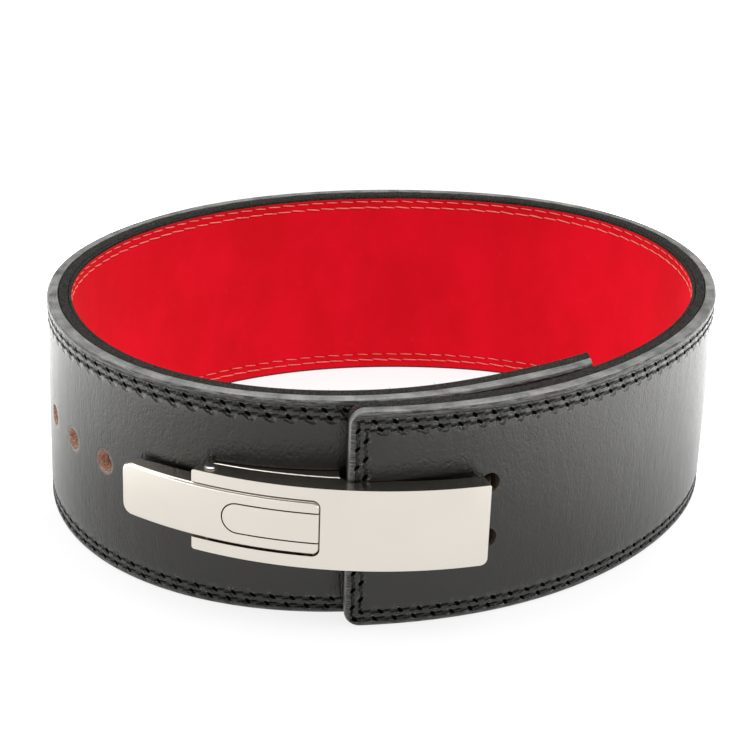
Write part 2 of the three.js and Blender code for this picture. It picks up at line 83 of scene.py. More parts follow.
@dataclass(frozen=True)
class StrapPath:
    """The spiral line of the strap's outer face."""

    loop_width: float = 314.9
    height: float = 100.0
    thickness: float = 11.2
    flap_gap: float = 0.4
    flap_end: float = -95.3
    tail_end: float = 320.5
    step: float = 20.0
    skive: float = 9.0
    corner: float = 7.0
    tail_corner: float = 2.0
    shift: tuple[float, float] = (-0.037, 3.4376)
    samples: int = 2400
    # Azimuth, radius as a share of half the width, and how far it dives under the flap.
    # The radii are rounded output of a fit to traced strap edges, and not chosen sizes.
    sections: tuple[tuple[float, float, float], ...] = (
        (-140, 1.112, 0),
        (-120, 1.026, 0),
        (-100, 0.94, 0),
        (-80, 0.882, 0),
        (-60, 0.861, 0),
        (-40, 0.864, 0),
        (-20, 0.9065, 0),
        (0, 0.9833, 0),
        (20, 1.0492, 0),
        (40, 1.0784, 0),
        (60, 1.0186, 0),
        (80, 0.934, 0),
        (100, 0.8995, 0),
        (120, 0.9, 0),
        (140, 0.9256, 0),
        (160, 0.9652, 0),
        (180, 1.0054, 0),
        (200, 1.0056, 0),
        (220, 0.9956, 0),
        (240, 0.972, 0.37),
        (260, 0.94, 1),
        (280, 0.882, 1.08),
        (300, 0.861, 1.4),
        (320, 0.864, 1.02),
        (340, 0.9065, 0.98),
        (360, 0.9833, 0.98),
    )

    def radius(self, azimuth: Array) -> Array:
        """The outer face's radius, a smooth blend of the sections.

        Args:
            azimuth: Degrees round the loop from +X.

        Returns:
            The radius at each azimuth, in mm.
        """
        total = np.zeros_like(azimuth)
        dive = self.thickness + self.flap_gap
        for at, share, inset in self.sections:
            d = np.abs((azimuth - at) / self.step)
            near = 2 / 3 - d**2 + d**3 / 2
            far = np.clip(2 - d, 0, None) ** 3 / 6
            weight = np.where(d < 1, near, far)
            total += weight * (share * self.loop_width / 2 - inset * dive)
        return total

    def line(self) -> tuple[Array, Array]:
        """The sampled line as arc lengths and points.

        Returns:
            Arc lengths from the flap end, and points in plan.
        """
        azimuth = np.linspace(self.flap_end, self.tail_end, self.samples)
        radius = self.radius(azimuth)
        turn = np.radians(azimuth)
        points = np.stack([radius * np.cos(turn), radius * np.sin(turn)], 1)
        steps = np.hypot(*np.diff(points, axis=0).T)
        return np.concatenate([[0], np.cumsum(steps)]), points + np.array(self.shift)

    @property
    def length(self) -> float:
        """Arc length of the outer face from flap end to tail end."""
        return float(self.line()[0][-1])

    @property
    def lap(self) -> float:
        """Arc length of the covered stretch where the flap end lies over it.

        Returns:
            The arc length, in mm.
        """
        arcs, _ = self.line()
        share = 360 / (self.tail_end - self.flap_end)
        return float(np.interp(share, np.linspace(0, 1, self.samples), arcs))

    def at(self, arc: Array) -> tuple[Array, Array, Array]:
        """Points of the outer face with their directions.

        Args:
            arc: Arc lengths from the flap end.

        Returns:
            Points, directions along the strap and directions inward, each in plan.
        """
        arc = np.atleast_1d(np.asarray(arc, float))
        arcs, points = self.line()
        tangent = np.gradient(points, arcs, axis=0)
        inside = np.clip(arc, 0, arcs[-1])
        point = np.stack([np.interp(inside, arcs, points[:, k]) for k in (0, 1)], -1)
        along = np.stack([np.interp(inside, arcs, tangent[:, k]) for k in (0, 1)], -1)
        along /= np.linalg.norm(along, axis=-1, keepdims=True)
        point = point + along * (arc - inside)[..., None]
        return point, along, np.stack([-along[..., 1], along[..., 0]], -1)

    def bend(self, flat: Array) -> Array:
        """Bends flat points round the loop.

        Args:
            flat: Rows of arc length, depth below the outer face and height.

        Returns:
            Rows of x, y and z in mm.
        """
        point, _, inward = self.at(flat[:, 0])
        plan = point + inward * flat[:, 1:2]
        return np.column_stack([plan, flat[:, 2]])


@dataclass(frozen=True)
class BucklePath:
    """The arc that the buckle's outer face follows, measured from over the claw holes."""

    strap: StrapPath
    axis: tuple[float, float] = (-10.5144, 16.4475)
    radius: float = 166.0
    claw_arc: float = 62.0

    def turn_of(self, plan: Array) -> Array:
        """The angle round the axis at which plan points lie."""
        return np.arctan2(plan[:, 0] - self.axis[0], self.axis[1] - plan[:, 1])

    @property
    def claw_turn(self) -> float:
        """The angle at which the claw holes lie."""
        return float(self.turn_of(self.strap.at(self.claw_arc)[0])[0])

    def bend(self, flat: Array) -> Array:
        """Bends flat points round the buckle's axis.

        Args:
            flat: Rows of place along the face, depth below it and height.

        Returns:
            Rows of x, y and z in mm.
        """
        radius = self.radius - flat[:, 1]
        turn = self.claw_turn + flat[:, 0] / self.radius
        return np.column_stack(
            [
                self.axis[0] + radius * np.sin(turn),
                self.axis[1] - radius * np.cos(turn),
                flat[:, 2],
            ]
        )

    def rise(self, place: Array, arc0: float, arc1: float) -> Array:
        """How far the face stands over a stretch of the strap.

        Args:
            place: Places along the face.
            arc0: Where the stretch starts.
            arc1: Where the stretch ends.

        Returns:
            The depth of the strap's outer face below the buckle's, at each place.
        """
        plan = self.strap.at(np.linspace(arc0, arc1, 400))[0]
        out = np.hypot(plan[:, 0] - self.axis[0], plan[:, 1] - self.axis[1])
        places = (self.turn_of(plan) - self.claw_turn) * self.radius
        return self.radius - np.interp(place, places, out)


# Meshes


def add_piece(name: str, points: Array, faces: Sequence[Sequence[int]]) -> bpy.types.Object:
    """Adds a mesh object whose place is in its mesh.

    Args:
        name: The piece's name.
        points: Rows of x, y and z in mm.
        faces: Corner numbers of each face.

    Returns:
        The new object, its faces turned outward.
    """
    mesh = bpy.data.meshes.new(name)
    mesh.from_pydata((np.asarray(points, float) * MM).tolist(), [], faces)
    piece = bpy.data.objects.new(name, mesh)
    bpy.context.scene.collection.objects.link(piece)
    face_outward(mesh)
    return piece


def face_outward(mesh: bpy.types.Mesh) -> None:
    """Merges doubles and turns the faces of a closed mesh outward.

    Args:
        mesh: The mesh.
    """
    bm = bmesh.new()
    bm.from_mesh(mesh)
    bmesh.ops.remove_doubles(bm, verts=bm.verts, dist=1e-7)
    bmesh.ops.recalc_face_normals(bm, faces=bm.faces)
    bm.to_mesh(mesh)
    bm.free()


def settle(piece: bpy.types.Object) -> None:
    """Applies a piece's modifiers to its mesh.

    Args:
        piece: The piece.
    """
    graph = bpy.context.evaluated_depsgraph_get()
    graph.update()
    made = bpy.data.meshes.new_from_object(
        piece.evaluated_get(graph), preserve_all_data_layers=True, depsgraph=graph
    )
    piece.modifiers.clear()
    old, piece.data = piece.data, made
    made.name = piece.name
    bpy.data.meshes.remove(old)


def shade(piece: bpy.types.Object, angle: float, weighted: bool = False) -> None:
    """Shades a piece smooth, with sharp edges past an angle.

    Args:
        piece: The piece.
        angle: Degrees past which an edge is sharp.
        weighted: Whether broad faces keep their own normals.
    """
    piece.data.shade_smooth()
    piece.data.set_sharp_from_angle(angle=math.radians(angle))
    if weighted:
        modifier = piece.modifiers.new("weights", "WEIGHTED_NORMAL")
        modifier.keep_sharp = True
        settle(piece)


def loft(name: str, rings: Array) -> bpy.types.Object:
    """Joins closed rings of points into one closed skin.

    Args:
        name: The piece's name.
        rings: Points of each ring, shaped rings by points by three.

    Returns:
        The new object.
    """
    count, size = rings.shape[:2]
    faces = [
        (a + j, a + (j + 1) % size, a + size + (j + 1) % size, a + size + j)
        for a in range(0, (count - 1) * size, size)
        for j in range(size)
    ]
    faces += [tuple(range(size)), tuple((count - 1) * size + j for j in range(size))]
    return add_piece(name, rings.reshape(-1, 3), faces)


def prism(name: str, outline: Outline, plane: Plane, low: float, high: float) -> bpy.types.Object:
    """A prism on a flat outline.

    Args:
        name: The piece's name.
        outline: Corners of the outline, in order.
        plane: The plane that the outline lies in.
        low: Where the prism starts.
        high: Where the prism ends.

    Returns:
        The new object.
    """
    first, second, run = plane.value
    rings = np.zeros((2, len(outline), 3))
    rings[:, :, first] = [p[0] for p in outline]
    rings[:, :, second] = [p[1] for p in outline]
    rings[0, :, run] = low
    rings[1, :, run] = high
    return loft(name, rings)


def panel(
    left: float,
    right: float,
    low: float,
    high: float,
    left_round: float,
    right_round: float,
    top_round: float | None = None,
) -> Outline:
    """The outline of a plate with its own corner radius at each end.

    Args:
        left: Left end.
        right: Right end.
        low: Lower edge.
        high: Upper edge.
        left_round: Radius of the two left corners.
        right_round: Radius of the two right corners.
        top_round: Radius of the upper right corner, where it has its own.

    Returns:
        Corners of the outline, counter-clockwise.
    """
    corners = (
        (left, low, left_round, 180),
        (right, low, right_round, 270),
        (right, high, right_round if top_round is None else top_round, 0),
        (left, high, left_round, 90),
    )
    points: Outline = []
    for x, z, radius, start in corners:
        if radius <= 0:
            points.append((x, z))
            continue
        cx = x + math.copysign(radius, (left + right) / 2 - x)
        cz = z + math.copysign(radius, (low + high) / 2 - z)
        for i in range(9):
            turn = math.radians(start + i * 90 / 8)
            points.append((cx + radius * math.cos(turn), cz + radius * math.sin(turn)))
    return points


def round_front(
    piece: bpy.types.Object, depth: float, radius: float, segments: int, across_from: float
) -> None:
    """Rounds the edges of a plate's front face.

    Args:
        piece: A prism drawn on the front plane.
        depth: Where its front face lies.
        radius: Radius of the bend.
        segments: Steps round the bend.
        across_from: Place from which the edges across the piece are bent too.
    """
    bm = bmesh.new()
    bm.from_mesh(piece.data)
    edges = []
    for edge in bm.edges:
        ends = [v.co / MM for v in edge.verts]
        if any(abs(p.y - depth) > 1e-3 for p in ends):
            continue
        if abs(ends[0].z - ends[1].z) > 1e-3 and max(p.x for p in ends) < across_from:
            continue
        edges.append(edge)
    bmesh.ops.bevel(
        bm,
        geom=edges,
        offset=radius * MM,
        segments=segments,
        profile=0.5,
        affect="EDGES",
        clamp_overlap=True,
    )
    bm.to_mesh(piece.data)
    bm.free()


def carve(
    piece: bpy.types.Object,
    cutter: bpy.types.Object,
    operation: str = "DIFFERENCE",
    keep_finish: bool = False,
) -> None:
    """Cuts a piece with another, which is then removed.

    Args:
        piece: The piece that stays.
        cutter: The piece that cuts.
        operation: The Boolean operation.
        keep_finish: Whether the cut faces take the cutter's material.
    """
    modifier = piece.modifiers.new("cut", "BOOLEAN")
    modifier.operation = operation
    modifier.solver = "EXACT"
    modifier.object = cutter
    if keep_finish:
        modifier.material_mode = "TRANSFER"
    settle(piece)
    bpy.data.objects.remove(cutter)


def soften(piece: bpy.types.Object, width: float, angle: float = 50) -> None:
    """Takes the sharpness off a piece's edges.

    Args:
        piece: The piece.
        width: Width of the softened edge.
        angle: Degrees past which an edge is softened.
    """
    modifier = piece.modifiers.new("soft", "BEVEL")
    modifier.width = width * MM
    modifier.segments = 2
    modifier.limit_method = "ANGLE"
    modifier.angle_limit = math.radians(angle)
    settle(piece)


def slice_along(piece: bpy.types.Object, start: float, end: float, step: float) -> None:
    """Slices a flat piece across its length, so that it can bend.

    Args:
        piece: The piece.
        start: Where the slices start.
        end: Where they end.
        step: The distance between them.
    """
    bm = bmesh.new()
    bm.from_mesh(piece.data)
    for x in np.arange(start + step, end, step):
        everything = [*bm.verts, *bm.edges, *bm.faces]
        bmesh.ops.bisect_plane(
            bm, geom=everything, dist=1e-7, plane_co=(x * MM, 0, 0), plane_no=(1, 0, 0)
        )
    bm.to_mesh(piece.data)
    bm.free()


def bend(piece: bpy.types.Object, path: Callable[[Array], Array]) -> None:
    """Moves a flat piece's points along a path's bend.

    Args:
        piece: The piece.
        path: Turns flat points into bent ones, both in mm.
    """
    count = len(piece.data.vertices)
    flat = np.zeros(count * 3)
    piece.data.vertices.foreach_get("co", flat)
    bent = path(flat.reshape(-1, 3) / MM) * MM
    piece.data.vertices.foreach_set("co", bent.ravel())
    piece.data.update()


def lathe(
    name: str, profile: Outline, sides: int, path: StrapPath, arc: float, z: float
) -> bpy.types.Object:
    """A turned piece whose axis stands square to the strap.

    Args:
        name: The piece's name.
        profile: Rows of radius and depth below the strap's outer face.
        sides: Steps round the axis.
        path: The strap's line.
        arc: Arc length of the axis.
        z: Height of the axis.

    Returns:
        The new object.
    """
    point, along, inward = (v[0] for v in path.at(arc))
    turns = np.linspace(0, 2 * math.pi, sides, endpoint=False)
    rings = np.zeros((len(profile), sides, 3))
    for i, (radius, depth) in enumerate(profile):
        plan = point + inward * depth + along * (radius * np.cos(turns))[:, None]
        rings[i, :, :2] = plan
        rings[i, :, 2] = z + radius * np.sin(turns)
    return loft(name, rings)


def upright(name: str, profile: Outline, sides: int, centre: Array) -> bpy.types.Object:
    """A turned piece whose axis is upright.

    Args:
        name: The piece's name.
        profile: Rows of radius and height.
        sides: Steps round the axis.
        centre: The axis in plan.

    Returns:
        The new object.
    """
    turns = np.linspace(0, 2 * math.pi, sides, endpoint=False)
    rings = np.zeros((len(profile), sides, 3))
    for i, (radius, height) in enumerate(profile):
        rings[i, :, 0] = centre[0] + radius * np.cos(turns)
        rings[i, :, 1] = centre[1] + radius * np.sin(turns)
        rings[i, :, 2] = height
    return loft(name, rings)


# Shaders


class Wire:
    """One number in a shader tree, with arithmetic that adds Math nodes."""

    def __init__(self, shader: "Shader", socket: bpy.types.NodeSocket) -> None:
        """Wraps an output socket."""
        self.shader = shader
        self.socket = socket

    def math(self, operation: str, *values: Any) -> "Wire":
        """Adds a Math node fed by values.

        Args:
            operation: The Math node's operation.
            values: Numbers or wires for its sockets.

        Returns:
            The node's result.
        """
        inputs = dict(enumerate(values))
        return self.shader.add("ShaderNodeMath", {"operation": operation}, inputs)

    def __add__(self, other: Any) -> "Wire":
        """Self plus other."""
        return self.math("ADD", self, other)

    def __radd__(self, other: Any) -> "Wire":
        """Other plus self."""
        return self.math("ADD", other, self)

    def __sub__(self, other: Any) -> "Wire":
        """Self less other."""
        return self.math("SUBTRACT", self, other)

    def __rsub__(self, other: Any) -> "Wire":
        """Other less self."""
        return self.math("SUBTRACT", other, self)

    def __mul__(self, other: Any) -> "Wire":
        """Self times other."""
        return self.math("MULTIPLY", self, other)

    def __rmul__(self, other: Any) -> "Wire":
        """Other times self."""
        return self.math("MULTIPLY", other, self)

    def __truediv__(self, other: Any) -> "Wire":
        """Self over other."""
        return self.math("DIVIDE", self, other)

    def __abs__(self) -> "Wire":
        """Self without its sign."""
        return self.math("ABSOLUTE", self)

    def wrapped(self, pitch: float) -> "Wire":
        """Self measured from the middle of the pitch that it lies in."""
        return self.math("WRAP", self, pitch / 2, -pitch / 2)

    def above(self, limit: float) -> "Wire":
        """One where self is over a limit, else nought."""
        return self.math("GREATER_THAN", self, limit)

    def power(self, exponent: float) -> "Wire":
        """Self to a power."""
        return self.math("POWER", self, exponent)

    def smallest(self, other: Any) -> "Wire":
        """The smaller of self and other."""
        return self.math("MINIMUM", self, other)

    def largest(self, other: Any) -> "Wire":
        """The larger of self and other."""
        return self.math("MAXIMUM", self, other)

    def ramp(self, start: float, end: float) -> "Wire":
        """A smooth step from nought at start to one at end.

        Args:
            start: Where it is nought.
            end: Where it is one.

        Returns:
            The step.
        """
        settings = {"interpolation_type": "SMOOTHSTEP"}
        inputs = {"Value": self, "From Min": start, "From Max": end}
        if start > end:
            inputs = {"Value": self, "From Min": end, "From Max": start, "To Min": 1.0, "To Max": 0.0}
        return self.shader.add("ShaderNodeMapRange", settings, inputs)


class Shader:
    """A material's node tree while it is written."""

    def __init__(self, name: str) -> None:
        """Starts a material with one principled surface.

        Args:
            name: The material's name.
        """
        self.material = bpy.data.materials.new(name)
        self.material.use_nodes = True
        self.tree = self.material.node_tree
        self.surface = self.tree.nodes["Principled BSDF"]

    def add(
        self,
        kind: str,
        settings: dict[str, Any] | None = None,
        inputs: dict[Any, Any] | None = None,
        output: Any = 0,
    ) -> Wire:
        """Adds one node.

        Args:
            kind: The node's type.
            settings: Its own settings, made first.
            inputs: Values or wires by socket name or number.
            output: The output that is wanted.

        Returns:
            That output.
        """
        node = self.tree.nodes.new(kind)
        for name, value in (settings or {}).items():
            setattr(node, name, value)
        for name, value in (inputs or {}).items():
            self.feed(node.inputs[name], value)
        return Wire(self, node.outputs[output])

    def feed(self, socket: bpy.types.NodeSocket, value: Any) -> None:
        """Gives a socket a value or a wire.

        Args:
            socket: The socket.
            value: A value, or a wire to link.
        """
        if isinstance(value, Wire):
            self.tree.links.new(value.socket, socket)
        else:
            socket.default_value = value

    def set(self, **values: Any) -> None:
        """Feeds the surface's sockets, underscores standing for spaces."""
        for name, value in values.items():
            self.feed(self.surface.inputs[name.replace("_", " ")], value)

    def place(self, scale: tuple[float, float, float] = (1, 1, 1)) -> Wire:
        """Object coordinates in mm, scaled.

        Args:
            scale: The factor of each part.

        Returns:
            The coordinates.
        """
        where = self.add("ShaderNodeTexCoord", output="Object")
        factors = tuple(s / MM for s in scale)
        return self.add("ShaderNodeMapping", {}, {"Vector": where, "Scale": factors})

    def stretch(self, vector: Wire, scale: tuple[float, float, float]) -> Wire:
        """A vector with each part scaled."""
        return self.add("ShaderNodeMapping", {}, {"Vector": vector, "Scale": scale})

    def flat(self, name: str = "flat") -> tuple[Wire, Wire, Wire]:
        """A flat map's two parts in mm, and both as one vector.

        Args:
            name: The map's name.

        Returns:
            The first part, the second part and the vector.
        """
        where = self.add("ShaderNodeUVMap", {"uv_map": name})
        vector = self.add("ShaderNodeMapping", {}, {"Vector": where, "Scale": (1 / MM,) * 3})
        arc = self.add("ShaderNodeSeparateXYZ", {}, {0: vector}, "X")
        z = self.add("ShaderNodeSeparateXYZ", {}, {0: vector}, "Y")
        return arc, z, vector

    def noise(self, where: Wire, scale: float, detail: float = 3, roughness: float = 0.5) -> Wire:
        """Noise whose features are about one over scale in mm."""
        inputs = {"Vector": where, "Scale": scale, "Detail": detail, "Roughness": roughness}
        return self.add("ShaderNodeTexNoise", {}, inputs)

    def cells(self, where: Wire, scale: float) -> Wire:
        """The distance field of a cell pattern."""
        return self.add("ShaderNodeTexVoronoi", {}, {"Vector": where, "Scale": scale})

    def blend(self, factor: Any, first: Any, second: Any) -> Wire:
        """Mixes two colours."""
        inputs = {0: factor, 6: first, 7: second}
        return self.add("ShaderNodeMix", {"data_type": "RGBA"}, inputs, 2)

    def painted_shade(self, mask: Wire, colour: Colour) -> None:
        """Lets a dull surface of its own colour show where a mask is one, to paint shade there.

        Args:
            mask: Where it shows.
            colour: Its colour.
        """
        dull = self.add("ShaderNodeBsdfDiffuse", {}, {"Color": colour})
        bright = Wire(self, self.surface.outputs[0])
        mixed = self.add("ShaderNodeMixShader", {}, {0: mask, 1: bright, 2: dull})
        self.feed(self.tree.nodes["Material Output"].inputs[0], mixed)

    def bump(self, height: Wire, distance: float, strength: float = 1.0) -> None:
        """Feeds the surface's normal from a height in parts of a distance in mm."""
        inputs = {"Height": height, "Distance": distance * MM, "Strength": strength}
        self.set(Normal=self.add("ShaderNodeBump", {}, inputs))


def grey(value: float) -> Colour:
    """A neutral colour."""
    return (value, value, value, 1.0)


@dataclass(frozen=True)
class StitchRow:
    """One row of stitches along the strap.

    The stitches' holes lie a pitch apart, counted from the phase.
    """

    z: float
    start: float
    end: float
    phase: float
    pitch: float


@dataclass(frozen=True)
class StitchColumn:
    """One upright row of stitches at the flap end."""

    arc: float
    low: float
    high: float
    phase: float
    pitch: float


@dataclass(frozen=True)
class Stitching:
    """The belt's sewing plan, shared by threads and leather.

    Two rows run round the strap near each edge and turn down the flap end. Each place is
    that of the row nearer the edge; the other lies a gap further in and a lag further on.
    """

    end: float
    height: float = 100.0
    top: float = 4.7
    bottom: float = 3.7
    side: float = 3.4
    gap: float = 3.4
    pitch: float = 8.5
    column_pitch: float = 8.2
    top_phase: float = 1.6
    bottom_phase: float = 4.6
    side_phase: float = 1.2
    lag: float = 2.3
    side_lag: float = 3.6
    tail_stop: float = 6.0

    def rows(self) -> list[StitchRow]:
        """The rows that run round the strap.

        Returns:
            Two rows at each edge, those nearer the edge first.
        """
        rows = []
        for far in (0, 1):
            start, end = self.side + far * self.gap, self.end - self.tail_stop
            high = self.height - self.top - far * self.gap
            low = self.bottom + far * self.gap
            lag = far * self.lag
            rows.append(StitchRow(high, start, end, self.top_phase + lag, self.pitch))
            rows.append(StitchRow(low, start, end, self.bottom_phase + lag, self.pitch))
        return rows

    def columns(self) -> list[StitchColumn]:
        """The upright rows at the flap end.

        Returns:
            The rows, the one nearer the end first.
        """
        columns = []
        for far in (0, 1):
            inset = far * self.gap
            low, high = self.bottom + inset, self.height - self.top - inset
            phase = self.side_phase + far * self.side_lag
            columns.append(StitchColumn(self.side + inset, low, high, phase, self.column_pitch))
        return columns

    def row_field(self, arc: Wire, z: Wire) -> tuple[Wire, Wire, Wire]:
        """The nearest row round the strap, at every place at once.

        Args:
            arc: Arc length.
            z: Height.

        Returns:
            The distance along the row from its nearest pit, the height over the row, and
            whether the row reaches this far.
        """
        upper = z.above(self.height / 2)
        edge = z.smallest(self.height - z)
        first = upper * (self.top - self.bottom) + self.bottom
        far = (edge - first).above(self.gap / 2)
        over = (edge - first - far * self.gap) * (1 - upper * 2)
        phase = upper * (self.top_phase - self.bottom_phase) + far * self.lag
        along = (arc - phase - self.bottom_phase).wrapped(self.pitch)
        within = (arc - far * self.gap).ramp(self.side - 1, self.side - 0.5)
        return along, over, within

    def column_field(self, arc: Wire, z: Wire) -> tuple[Wire, Wire, Wire]:
        """The nearest upright row, as row_field gives those round the strap.

        Args:
            arc: Arc length.
            z: Height.

        Returns:
            The distance along the row from its nearest pit, the arc length past the row, and
            whether the row reaches this far.
        """
        far = arc.above(self.side + self.gap / 2)
        inset = far * self.gap
        along = (z - far * self.side_lag - self.side_phase).wrapped(self.column_pitch)
        low = (z - inset).ramp(self.bottom - 1, self.bottom - 0.5)
        high = (z + inset).ramp(self.height - self.top + 1, self.height - self.top + 0.5)
        return along, arc - inset - self.side, low * high


@dataclass(frozen=True)
class BlackHide:
    """Smooth dyed hide with a rubbed lip and punched holes; its stitch pits and the groove along each
    row are painted near black as shade, and pale specks round the pits are painted highlights.
    """

    stitching: Stitching
    spare: tuple[float, float, float, float, int]
    slit_length: float = 1.6
    slit_width: float = 0.85
    slant: float = 36.0

    def awl(self, along: Wire, across: Wire, turn: float) -> Wire:
        """The squared distance from an awl hole, one at its rim.

        Args:
            along: Distance along the row.
            across: Distance across the row.
            turn: Degrees that the hole is turned.

        Returns:
            The squared distance.
        """
        c, s = math.cos(math.radians(turn)), math.sin(math.radians(turn))
        a = (along * c + across * s) / self.slit_length
        b = (across * c - along * s) / self.slit_width
        return a * a + b * b

    def make(self) -> bpy.types.Material:
        """Writes the material.

        Returns:
            The material.
        """
        shader = Shader("black_hide")
        arc, z, vector = shader.flat()
        place = shader.place()
        wander = (shader.noise(place, 0.35, 1) - 0.5) * 0.9
        x, y, inside = self.stitching.row_field(arc, z)
        u, v, upright = self.stitching.column_field(arc, z)
        fields = ((x, y, inside, -self.slant), (u, v, upright, self.slant))
        pits, pulls, grooves = [], [], []
        for along, across, within, turn in fields:
            away = self.awl(along + wander, across + wander * 0.5, turn)
            pits.append(away.ramp(1.5, 0.6) * within)
            pulls.append(away.ramp(8.0, 0.8) * within)
            drift = along * 0.1
            grooves.append(abs(across - drift).ramp(0.75, 0.3) * within)
        painted_shade, pull, groove = (pair[0].largest(pair[1]) for pair in (pits, pulls, grooves))
        first, middle, pitch, radius, count = self.spare
        near = (arc - first).wrapped(pitch)
        up = z - middle
        ring = (near * near + up * up).power(0.5).ramp(radius + 1.6, radius)
        among = (arc - first + pitch / 2).above(0) * (1 - (arc - first).above((count - 0.5) * pitch))
        rim = ring * among
        lip = z.smallest(self.stitching.height - z).smallest(arc).ramp(3.4, 0.6)
        grain = shader.cells(place, 0.95)
        fine = shader.noise(place, 1.9, 4, 0.7)
        broad = shader.noise(place, 0.03, 2, 0.5)
        crease = shader.noise(shader.place((1.0, 1.0, 0.3)), 0.2, 5, 0.62)
        pebble = abs(shader.noise(shader.place((1.0, 1.0, 0.55)), 0.55, 3, 0.6) - 0.5)
        scuff = shader.noise(shader.stretch(vector, (0.12, 1.3, 1.0)), 1.0, 4, 0.7)
        colour = shader.blend(fine, (0.003, 0.003, 0.0025, 1), (0.0065, 0.0062, 0.005, 1))
        rubbed = lip * scuff.ramp(0.42, 0.62)
        colour = shader.blend(rubbed, colour, grey(0.13))
        colour = shader.blend(rim * fine.ramp(0.45, 0.6), colour, (0.2, 0.16, 0.13, 1))
        # Pale specks in the puckered leather round each pit: painted highlights.
        pucker_glints = pull * shader.noise(place, 1.4, 2, 0.6).ramp(0.6, 0.68)
        colour = shader.blend(pucker_glints * 0.8, colour, grey(0.22))
        height = (
            grain * 0.07
            + fine * 0.16
            + crease * 0.45
            - pebble * 0.9
            + broad * 1.4
            - pull * 0.9
            - groove * 0.3
            - rim * 0.5
            + rubbed * 0.2
        )
        shader.bump(height, 0.55, 0.9)
        shader.set(
            Base_Color=colour,
            Roughness=0.17 + fine * 0.08 + broad * 0.06 + lip * 0.14,
            Specular_IOR_Level=0.55,
            Specular_Tint=(1.0, 0.985, 0.93, 1.0),
        )
        # The stitch pits and the groove along each row are painted near black: painted shade in the
        # holes and under the thread.
        shader.painted_shade(painted_shade.largest(groove * 0.8), grey(0.0012))
        return shader.material


@dataclass(frozen=True)
class EdgeHide:
    """The hide's burnished edge, streaked and paler than its face, the pale streaks partly its own wear
    and partly painted sheen.
    """

    def make(self) -> bpy.types.Material:
        """Writes the material.

        Returns:
            The material.
        """
        shader = Shader("burnished_edge")
        place = shader.place()
        _, _, vector = shader.flat("side")
        long = shader.noise(shader.stretch(vector, (0.1, 1.6, 1.0)), 1.0, 4, 0.7)
        across = shader.noise(shader.stretch(vector, (1.0, 0.1, 1.0)), 0.6, 4, 0.75)
        streak = long * 0.65 + across * 0.35
        blotch = shader.noise(place, 0.1, 3)
        nick = shader.noise(place, 0.5, 4, 0.75).ramp(0.62, 0.75)
        fine = shader.noise(place, 2.6, 4, 0.7)
        tone = streak * 0.8 + blotch * 0.7 - 0.25
        # The pale grey of the streaks is partly the edge's own wear and partly painted sheen.
        colour = shader.blend(tone.ramp(0.2, 0.75), grey(0.025), (0.24, 0.238, 0.226, 1))
        shader.set(
            Base_Color=shader.blend(nick * 0.7, colour, grey(0.3)),
            Roughness=0.34 + fine * 0.25,
            Specular_IOR_Level=0.6,
        )
        shader.bump(streak * 0.7 + fine * 0.4 + nick * 0.4, 0.35, 0.8)
        return shader.material


@dataclass(frozen=True)
class BlackSplit:
    """Rough black split, open and fibrous at its cut edge."""

    colour: Colour = grey(0.008)

    def make(self) -> bpy.types.Material:
        """Writes the material.

        Returns:
            The material.
        """
        shader = Shader("black_split")
        place = shader.place()
        fuzz = shader.noise(place, 1.6, 6, 0.75)
        lumps = shader.noise(place, 0.5, 3, 0.6)
        specks = shader.cells(place, 1.1).ramp(0.16, 0.05)
        colour = shader.blend(fuzz.ramp(0.4, 0.7), self.colour, (0.09, 0.085, 0.07, 1))
        shader.set(
            Base_Color=shader.blend(specks * 0.45, colour, grey(0.12)),
            Roughness=0.95,
            Specular_IOR_Level=0.12,
        )
        shader.bump(fuzz + lumps, 1.1)
        return shader.material


@dataclass(frozen=True)
class RedSuede:
    """Dyed suede with a short brushed nap, dented along the stitch rows and painted darker in those
    dents as shade.
    """

    stitching: Stitching
    lift: float
    colour: Colour = (0.87, 0.0028, 0.021, 1.0)

    def make(self) -> bpy.types.Material:
        """Writes the material.

        Returns:
            The material.
        """
        shader = Shader("red_suede")
        arc, z, _ = shader.flat()
        place = shader.place()
        nap = shader.noise(place, 3.0, 6, 0.75)
        brushed = shader.noise(shader.place((1, 1, 0.6)), 0.03, 4, 0.55)
        rubbed = shader.noise(place, 0.22, 5, 0.7)
        _, over, _ = self.stitching.row_field(arc, z - self.lift)
        dip = abs(over).ramp(1.3, 0.2)
        dark = shader.blend(brushed.ramp(0.3, 0.75), (0.71, 0.0025, 0.013, 1.0), self.colour)
        light = shader.blend(rubbed.ramp(0.58, 0.75) * 0.35, dark, (0.94, 0.022, 0.045, 1.0))
        colour = shader.blend(nap * 0.35, light, (0.52, 0.003, 0.008, 1.0))
        shader.set(
            # Darker in the dents along the stitch rows: painted shade.
            Base_Color=shader.blend(dip * 0.25, colour, (0.35, 0.002, 0.006, 1.0)),
            Roughness=0.88,
            Specular_IOR_Level=0.12,
            Sheen_Weight=0.05,
            Sheen_Roughness=0.45,
            Sheen_Tint=(1.0, 0.25, 0.25, 1.0),
        )
        shader.bump(nap * 0.6 + rubbed * 0.4 - dip * 0.8, 0.35, 0.7)
        return shader.material


